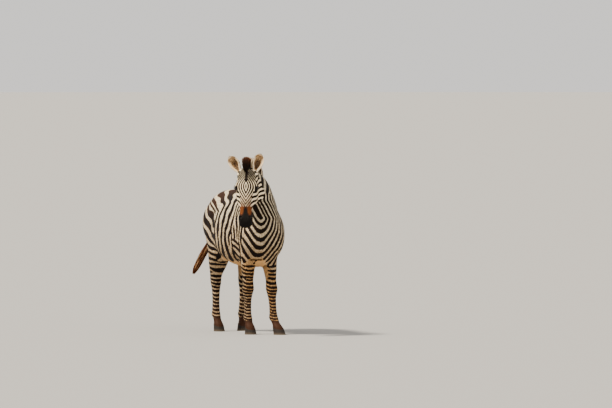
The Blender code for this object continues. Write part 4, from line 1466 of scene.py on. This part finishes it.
def unwrap(points):
    """The skin unrolled: each part of the body turned about its own axis, in a cell of its own."""
    x, y, z = points.T
    across, down, out, head = on_face(points)
    leg_x, leg_y = lines_of_legs(points)
    face, leg, tail = head > 0.5, z < 0.62, (y > 0.63) & (z < 1.17)
    cell = np.select([face, leg, tail], [1, 2 + nearest_leg(points), 6], 0)
    turns = [np.arctan2(across, out + 0.05), np.arctan2(x - leg_x, y - leg_y)]
    turn = np.select([face, leg], turns, np.arctan2(x, z - 0.93)) / (2 * math.pi) + 0.5
    along = np.select([face, leg | tail], [(down + 0.07) / 0.64, z / 1.17], (y + 1.0) / 1.65)
    left, low, wide, tall = CELLS[cell].T
    return np.stack([left + wide * turn, low + tall * np.clip(along, 0, 1)], 1)


dice = np.random.default_rng(11)
print("cells of the unwrap:", len(CELLS))

# %% [markdown]
# ## The mane
# A zebra's mane stands up like a brush. Each lock stands on the crest and carries on the stripe of the
# neck below it. The tips turn orange-brown, and between the ears the brush leans forward to a forelock.

# %% The mane
MANE_LOCKS = 3000
ROOT_DEPTH = 0.030


def mane_stations(share):
    """The crest, the hair's way, the crest's way, the height and the half thickness at shares of it."""
    rows = smooth_rows(MANE, 6)
    at = share * (len(rows) - 1)
    found = between_rows(rows, at)
    along = unit(between_rows(np.gradient(rows[:, :3], axis=0), at))
    return found[:, :3], unit(found[:, 3:6]), along, found[:, 6], found[:, 7]


def mane_piece():
    """Locks along the crest, shorter at its sides, each with the stripe of the neck below it."""
    share = np.sort(dice.random(MANE_LOCKS))
    crest, up, along, height, half = mane_stations(share)
    side = unit(np.cross(along, up))
    aside = dice.uniform(-1, 1, MANE_LOCKS)
    root = crest + side * (aside * half * 0.80)[:, None] - up * ROOT_DEPTH
    lean = side * (aside * 0.10 + dice.normal(0, 0.025, MANE_LOCKS))[:, None]
    lean += along * dice.normal(0.02, 0.05, MANE_LOCKS)[:, None]
    way = unit(up + lean)
    length = height * (1.0 - 0.16 * aside**2) * dice.uniform(0.90, 1.0, MANE_LOCKS) + ROOT_DEPTH
    paths, steps = straight_paths(root, way, length, 5)
    paths += (along * dice.normal(0, 0.004, MANE_LOCKS)[:, None])[:, None] * (steps**2)[:, None]
    below = crest - up * 0.045 + side * np.sign(aside)[:, None] * 0.05
    marks = markings(below, side * np.sign(aside)[:, None])
    full = dice.uniform(0.15, 0.75, MANE_LOCKS) * rise(crest[:, 1], -0.93, -0.80)
    marks["rust"] = np.stack([np.full(MANE_LOCKS, -0.25), full], 1)
    marks["soot"] = np.zeros(MANE_LOCKS)
    ink = marks["ink"] + dice.normal(0, 0.12, MANE_LOCKS)
    marks["ink"] = blend(ink, 1, rise(-0.80 - crest[:, 1], 0.0, 0.04))
    widths = dice.uniform(0.0022, 0.0036, MANE_LOCKS)
    return locks("mane_locks", paths, side, widths, 3, marks, unwrap(below))


mane = mane_piece()
print("mane", len(mane.data.polygons))

# %% [markdown]
# ## The tassel
# The lower half of the tail carries long hair. Each lock starts on the dock and follows the tail's own
# curve, spreading from the middle and gathering again at the end. It is dark, going to orange-brown.

# %% The tassel
TASSEL_LOCKS = 900


def tassel_piece():
    """Locks that start along the dock and wind a little round the tail's curve."""
    start = dice.uniform(TASSEL_SHARE - 0.05, TASSEL_SHARE + 0.30, TASSEL_LOCKS)
    end = np.minimum(start + dice.uniform(0.25, 0.50, TASSEL_LOCKS), dice.uniform(0.90, 1.0, TASSEL_LOCKS))
    steps = np.linspace(0, 1, 7)
    share = start[:, None] + (end - start)[:, None] * steps
    middle, side, front, radii = tail_place(share)
    turn = dice.uniform(0, 2 * math.pi, TASSEL_LOCKS)[:, None]
    turn = turn + dice.normal(0, 0.25, TASSEL_LOCKS)[:, None] * steps
    out = (0.35 + 0.60 * steps) * dice.uniform(0.55, 1.0, TASSEL_LOCKS)[:, None]
    paths = middle + side * (np.cos(turn) * out * radii[..., 0])[..., None]
    paths += front * (np.sin(turn) * out * radii[..., 1])[..., None]
    across = side[:, 0] * -np.sin(turn[:, :1]) + front[:, 0] * np.cos(turn[:, :1])
    ink = np.where(dice.random(TASSEL_LOCKS) < 0.05, -1.0, 1.0)
    marks = plain_marks(TASSEL_LOCKS, ink=ink, warm=0.8, brown=dice.uniform(0.2, 0.9, TASSEL_LOCKS))
    at_root, at_tip = dice.uniform(-0.2, 0.2, TASSEL_LOCKS), dice.uniform(0.4, 1.0, TASSEL_LOCKS)
    marks["rust"] = np.stack([at_root, at_tip], 1)
    widths = dice.uniform(0.003, 0.0055, TASSEL_LOCKS)
    return locks("tassel_locks", paths, across, widths, 3, marks, unwrap(middle[:, 0]))


tassel = tassel_piece()
print("tassel", len(tassel.data.polygons))

# %% [markdown]
# ## The short coat
# Over the body the hair is short and lies flat, from the forehead to the nose, back along the neck and
# the barrel, and down the legs. Small flat locks, thin and overlapping, follow that lie. They are
# scattered over the skin by area and read its marks, longest on the belly and smallest on face and feet.


# %% Which way the hair lies
def lie_of_coat(points, normals):
    """The way the hair points at each place, along the skin."""
    x, y, z = points.T
    across, _, _, head = on_face(points)
    one = np.ones(len(points))
    trunk = np.stack([0 * one, one, -0.45 * one], 1)
    neck = np.stack([0.10 * one, 0.75 * one, -0.70 * one], 1)
    leg = np.stack([0 * one, 0.12 * one, -one], 1)
    face = np.outer(one, np.array(DOWN)) + np.outer(np.sign(across) * 0.25, np.array(LEFT))
    at_neck = rise(-0.45 - y, -0.05, 0.10)[:, None]
    at_leg = rise(0.80 - z, 0, 0.15)[:, None] * rise(np.abs(x), 0.03, 0.08)[:, None]
    at_tail = rise(y, 0.60, 0.64)[:, None]
    way = blend(blend(trunk, neck, at_neck), leg, at_leg)
    way = blend(blend(way, leg, at_tail), face, head[:, None])
    return unit(way - normals * np.sum(way * normals, 1, keepdims=True))


print("the hair on the back lies", lie_of_coat(np.array([[0, 0, 1.28]]), np.array([[0, 0, 1.0]])).round(2))


# %% Tufts over a mesh
def scatter(mesh, count, density):
    """Random places on a mesh, more where it is dense: corners of each one's triangle, and their shares."""
    mesh.calc_loop_triangles()
    corners = read(mesh.loop_triangles, "vertices", 3)
    points = places_of(mesh)
    a, b, c = (points[corners[:, k]] for k in range(3))
    area = np.linalg.norm(np.cross(b - a, c - a), axis=1) * density[corners].mean(1)
    chosen = np.searchsorted(np.cumsum(area) / area.sum(), dice.random(count))
    first, second = np.sqrt(dice.random(count)), dice.random(count)
    shares = np.stack([1 - first, first * (1 - second), first * second], 1)
    return corners[np.minimum(chosen, len(corners) - 1)], shares


# Shares of a tuft's length, from root to tip, and how high each stands for a lift of 1
TUFT_STEPS = np.array([0.0, 0.55, 1.0])
TUFT_RISES = np.array([-0.4, 0.7, 0.6])


def coat_piece(name, mesh, marks, count, density, sizes, lie):
    """Flat locks over the part of a mesh that the density leaves."""
    corners, shares = scatter(mesh, count, density)

    def at_roots(values):
        return np.einsum("nk,nk...->n...", shares, values[corners])

    roots, normals = at_roots(places_of(mesh)), unit(at_roots(normals_of(mesh)))
    way = lie(roots, normals)
    side = unit(np.cross(normals, way))
    way = unit(way + side * dice.normal(0, 0.16, count)[:, None])
    length, width, lift = sizes(roots)
    length = (length * dice.uniform(0.75, 1.2, count))[:, None]
    paths = roots[:, None] + (way * length)[:, None] * (TUFT_STEPS[:, None] - 0.5)
    lift = (lift * dice.uniform(0.6, 1.2, count))[:, None]
    paths += (normals * lift)[:, None] * TUFT_RISES[:, None]
    own = {key: at_roots(values) for key, values in marks.items()}
    own["ink"] = own["ink"] + dice.normal(0, 0.05, count)
    own["warm"] = own["warm"] + dice.normal(0, 0.10, count)
    piece = locks(name, paths, side, width * dice.uniform(0.8, 1.2, count), 2, own, unwrap(roots))
    per_lock = len(piece.data.vertices) // count
    piece.data.normals_split_custom_set_from_vertices(np.repeat(normals, per_lock, axis=0))
    return piece


print("points of a tuft:", len(TUFT_STEPS))

# %% The coat of the body
# Lengths of the hair at heights, and how many tufts each part gets
HAIR_LENGTHS = ((0.05, 0.006), (0.30, 0.008), (0.60, 0.010), (0.72, 0.013), (0.85, 0.012), (1.25, 0.0085))
SIDE_TUFTS, LEG_TUFTS, HEAD_TUFTS, EAR_TUFTS = 62000, 50000, 40000, 7000


def coat_sizes(points):
    """Length, half width and lift of the hair at each place."""
    head = on_face(points)[3]
    z = points[:, 2]
    length = blend(track(z, *HAIR_LENGTHS), 0.0060, head)
    return length, length * 0.10, 0.0008 * (1 - 0.3 * head) * rise(z, 0.0, 0.4) + 0.0004


skin_points = places_of(skin.data)
head_share = on_face(skin_points)[3]
low_share = rise(0.62 - skin_points[:, 2], 0, 0.02)
eye_near = [np.linalg.norm(skin_points - np.array(eye_frame(s).translation), axis=1) for s in (-1, 1)]
bare = rise(np.minimum(*eye_near), 0.022, 0.030)
on_trunk = (1 - head_share) * (1 - low_share)
PARTS = {
    "coat_right": (SIDE_TUFTS, on_trunk * (skin_points[:, 0] < 0)),
    "coat_left": (SIDE_TUFTS, on_trunk * (skin_points[:, 0] >= 0)),
    "coat_legs": (LEG_TUFTS, low_share * (1 - head_share)),
    "coat_head": (HEAD_TUFTS, head_share * bare * (1 - 0.7 * skin_marks["soot"])),
}
coat = [
    coat_piece(name, skin.data, skin_marks, count, density, coat_sizes, lie_of_coat)
    for name, (count, density) in PARTS.items()
]
print("tufts on the body:", sum(count for count, _ in PARTS.values()))


# %% The coat of the ears
def ear_hair_sizes(points):
    """Length, half width and lift of the hair on an ear."""
    return np.full(len(points), 0.0065), np.full(len(points), 0.0007), 0.0009


def ear_coat(name):
    """The finest hair, over both faces of an ear, lying towards its tip."""
    axis = ear_frame(name)[1]
    mesh = ears[name].data
    marks = {key: read(mesh.attributes[key].data, "value") for key in skin_marks}
    even = np.ones(len(mesh.vertices))

    def towards_tip(points, normals):
        return unit(axis - normals * (normals @ axis)[:, None])

    return coat_piece(name + "_coat", mesh, marks, EAR_TUFTS, even, ear_hair_sizes, towards_tip)


coat += [ear_coat(name) for name in EARS]
print("coat triangles", sum(len(piece.data.polygons) for piece in coat) * 3 // 2)


# %% Hair in the ears and lashes
def ear_hair(name, count=420):
    """Soft pale hair that stands across the ear's opening from just inside its rim."""
    inner, share, across = ear_sheet(name, -EAR_THICKNESS / 2)
    _, axis, opens, _ = ear_frame(name)
    row = dice.integers(2, int(0.70 * len(share)), count)
    edge = np.where(dice.random(count) < 0.5, 1, EAR_ACROSS - 1)
    edge = edge + np.where(edge < EAR_ACROSS / 2, 1, -1) * dice.integers(0, 6, count)
    roots = inner[row, edge]
    middle = inner[row, EAR_ACROSS // 2]
    way = unit(axis * 0.9 + unit(middle - roots) * 0.30 + opens * 0.25)
    paths = straight_paths(roots, way, dice.uniform(0.012, 0.026, count), 4)[0]
    marks = plain_marks(count, ink=-1.0, warm=0.15, brown=0.5)
    spot = np.stack([0.84 + 0.12 * across[edge] * 0.5 + 0.05, 0.05 + 0.15 * share[row]], 1)
    return locks(name + "_hair", paths, np.cross(way, opens), np.full(count, 0.0009), 2, marks, spot)


def lashes(name, side, count=34):
    """Dark lashes that droop from the upper lid's edge."""
    angle = np.linspace(0.12, 0.88, count) * math.pi
    along, across = np.cos(angle), np.sin(angle)
    local = on_ball(LID_OPENING[0] * along, LID_OPENING[1] * across * (1 - 0.25 * along**2))
    way = unit(local + np.array((0.25, 0.15, 0.25)) + dice.normal(0, 0.08, (count, 3)))
    paths, steps = straight_paths(local * (EYE_RADIUS + 0.002), way, dice.uniform(0.010, 0.015, count), 4)
    paths[..., 1] -= 0.006 * steps**2
    world = from_eye(paths, side)
    marks = plain_marks(count, ink=1.0, soot=1.0)
    sides = np.tile(np.array(eye_frame(side))[:3, 0], (count, 1))
    return locks(name, world, sides, np.full(count, 0.0006), 3, marks, unwrap(world[:, 0]))


fine_hair = [ear_hair(name) for name in EARS]
fine_hair += [lashes("lashes_right", -1), lashes("lashes_left", 1)]
print("ear hair and lashes", sum(len(piece.data.polygons) for piece in fine_hair))

# %% [markdown]
# ## Into the frame
# Everything is moved by the same amount as the solids were and rides on the one body, since nothing on
# this model moves, and the nodes that the pieces stand in for are hidden.

# %% Move the pieces into the frame and hide the nodes they stand in for
FLESH = ["head", "neck", "trunk", "tail_dock"]
for part in ("forearm", "fore_cannon", "gaskin", "hind_cannon"):
    FLESH += [f"{part}_right", f"{part}_left"]
pieces = [skin, mane, tassel, *eyes.values(), *lids, *ears.values(), *hooves.values(), *coat, *fine_hair]
for piece in pieces:
    piece.data.transform(Matrix.Translation(SHIFT))
    piece.data.update()
    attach(piece, "root")
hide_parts(*FLESH)
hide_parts("mane")
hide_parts("tail_tassel")
for name, eye in eyes.items():
    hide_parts(name)
for name, ear in ears.items():
    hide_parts(name)
for leg, piece in hooves.items():
    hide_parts(f"{leg}_hoof")
print("pieces", len(pieces))

# %% [markdown]
# ## The studio
# A pale floor, a pale world that lights it from all round, and two warm lamps: a strong one high on
# the animal's right, where the sun would be, and a weak, very soft one from in front. The camera stands
# far off with a long lens, so that the far legs are hardly smaller than the near ones, a little above
# the animal's back.

# %% Floor, light and camera
FLOOR_SIZE = 1600.0
FLOOR_COLOUR = (0.285, 0.277, 0.265)
LENS = 382.35
# The camera's turn, how far it stands back, to the right and up, and how far it looks down in each metre
CAMERA_TURN = math.radians(-19.5)
CAMERA_PLACE = (58.85, 0.549, 2.33)
CAMERA_DROP = 0.0198


def floor_piece():
    shape = bmesh.new()
    bmesh.ops.create_grid(shape, x_segments=1, y_segments=1, size=FLOOR_SIZE / 2)
    finish = Finish("pale_floor").done(Base_Color=FLOOR_COLOUR, Roughness=0.9)
    return new_object("studio_floor", mesh_from(shape, "studio_floor"), finish)


def sun_lamp(name, from_way, strength, softness, colour):
    """Even light from one direction, with shadows as soft as the lamp is wide in degrees."""
    lamp = bpy.data.lights.new(name, "SUN")
    lamp.energy = strength
    lamp.angle = math.radians(softness)
    lamp.color = colour
    holder = new_object(name, lamp)
    holder.rotation_euler = Vector(from_way).to_track_quat("Z", "Y").to_euler()
    return holder


def pale_world(strength, colour):
    world = bpy.data.worlds.new("studio")
    bpy.context.scene.world = world
    world.use_nodes = True
    background = world.node_tree.nodes["Background"]
    background.inputs["Color"].default_value = (*colour, 1.0)
    background.inputs["Strength"].default_value = strength


def camera_piece():
    lens_camera = bpy.data.cameras.new("camera")
    lens_camera.lens = LENS
    lens_camera.sensor_width = 36.0
    lens_camera.clip_end = 900.0
    holder = new_object("camera", lens_camera)
    right = Vector((math.cos(CAMERA_TURN), math.sin(CAMERA_TURN), 0))
    ahead = Vector((-right.y, right.x, 0))
    back, aside, up = CAMERA_PLACE
    holder.location = ahead * -back + right * aside + UP * up + SHIFT
    holder.rotation_euler = (math.pi / 2 - math.atan(CAMERA_DROP), 0.0, CAMERA_TURN)
    bpy.context.scene.camera = holder
    return holder


floor_piece()
pale_world(1.06, (0.95, 0.925, 0.89))
sun_lamp("sun", (-0.85, 0.00, 1.15), 9.2, 8.0, (1.0, 0.92, 0.78))
sun_lamp("fill", (0.10, -1.0, 0.40), 1.4, 40.0, (1.0, 0.93, 0.82))
print("camera at", [round(c, 2) for c in camera_piece().location])

# %% [markdown]
# ## The last update
# The view layer is brought up to date once more. The looks have to stay inside the box of the solids,
# apart from a little hair.

# %% Update the view layer
bpy.context.view_layer.update()
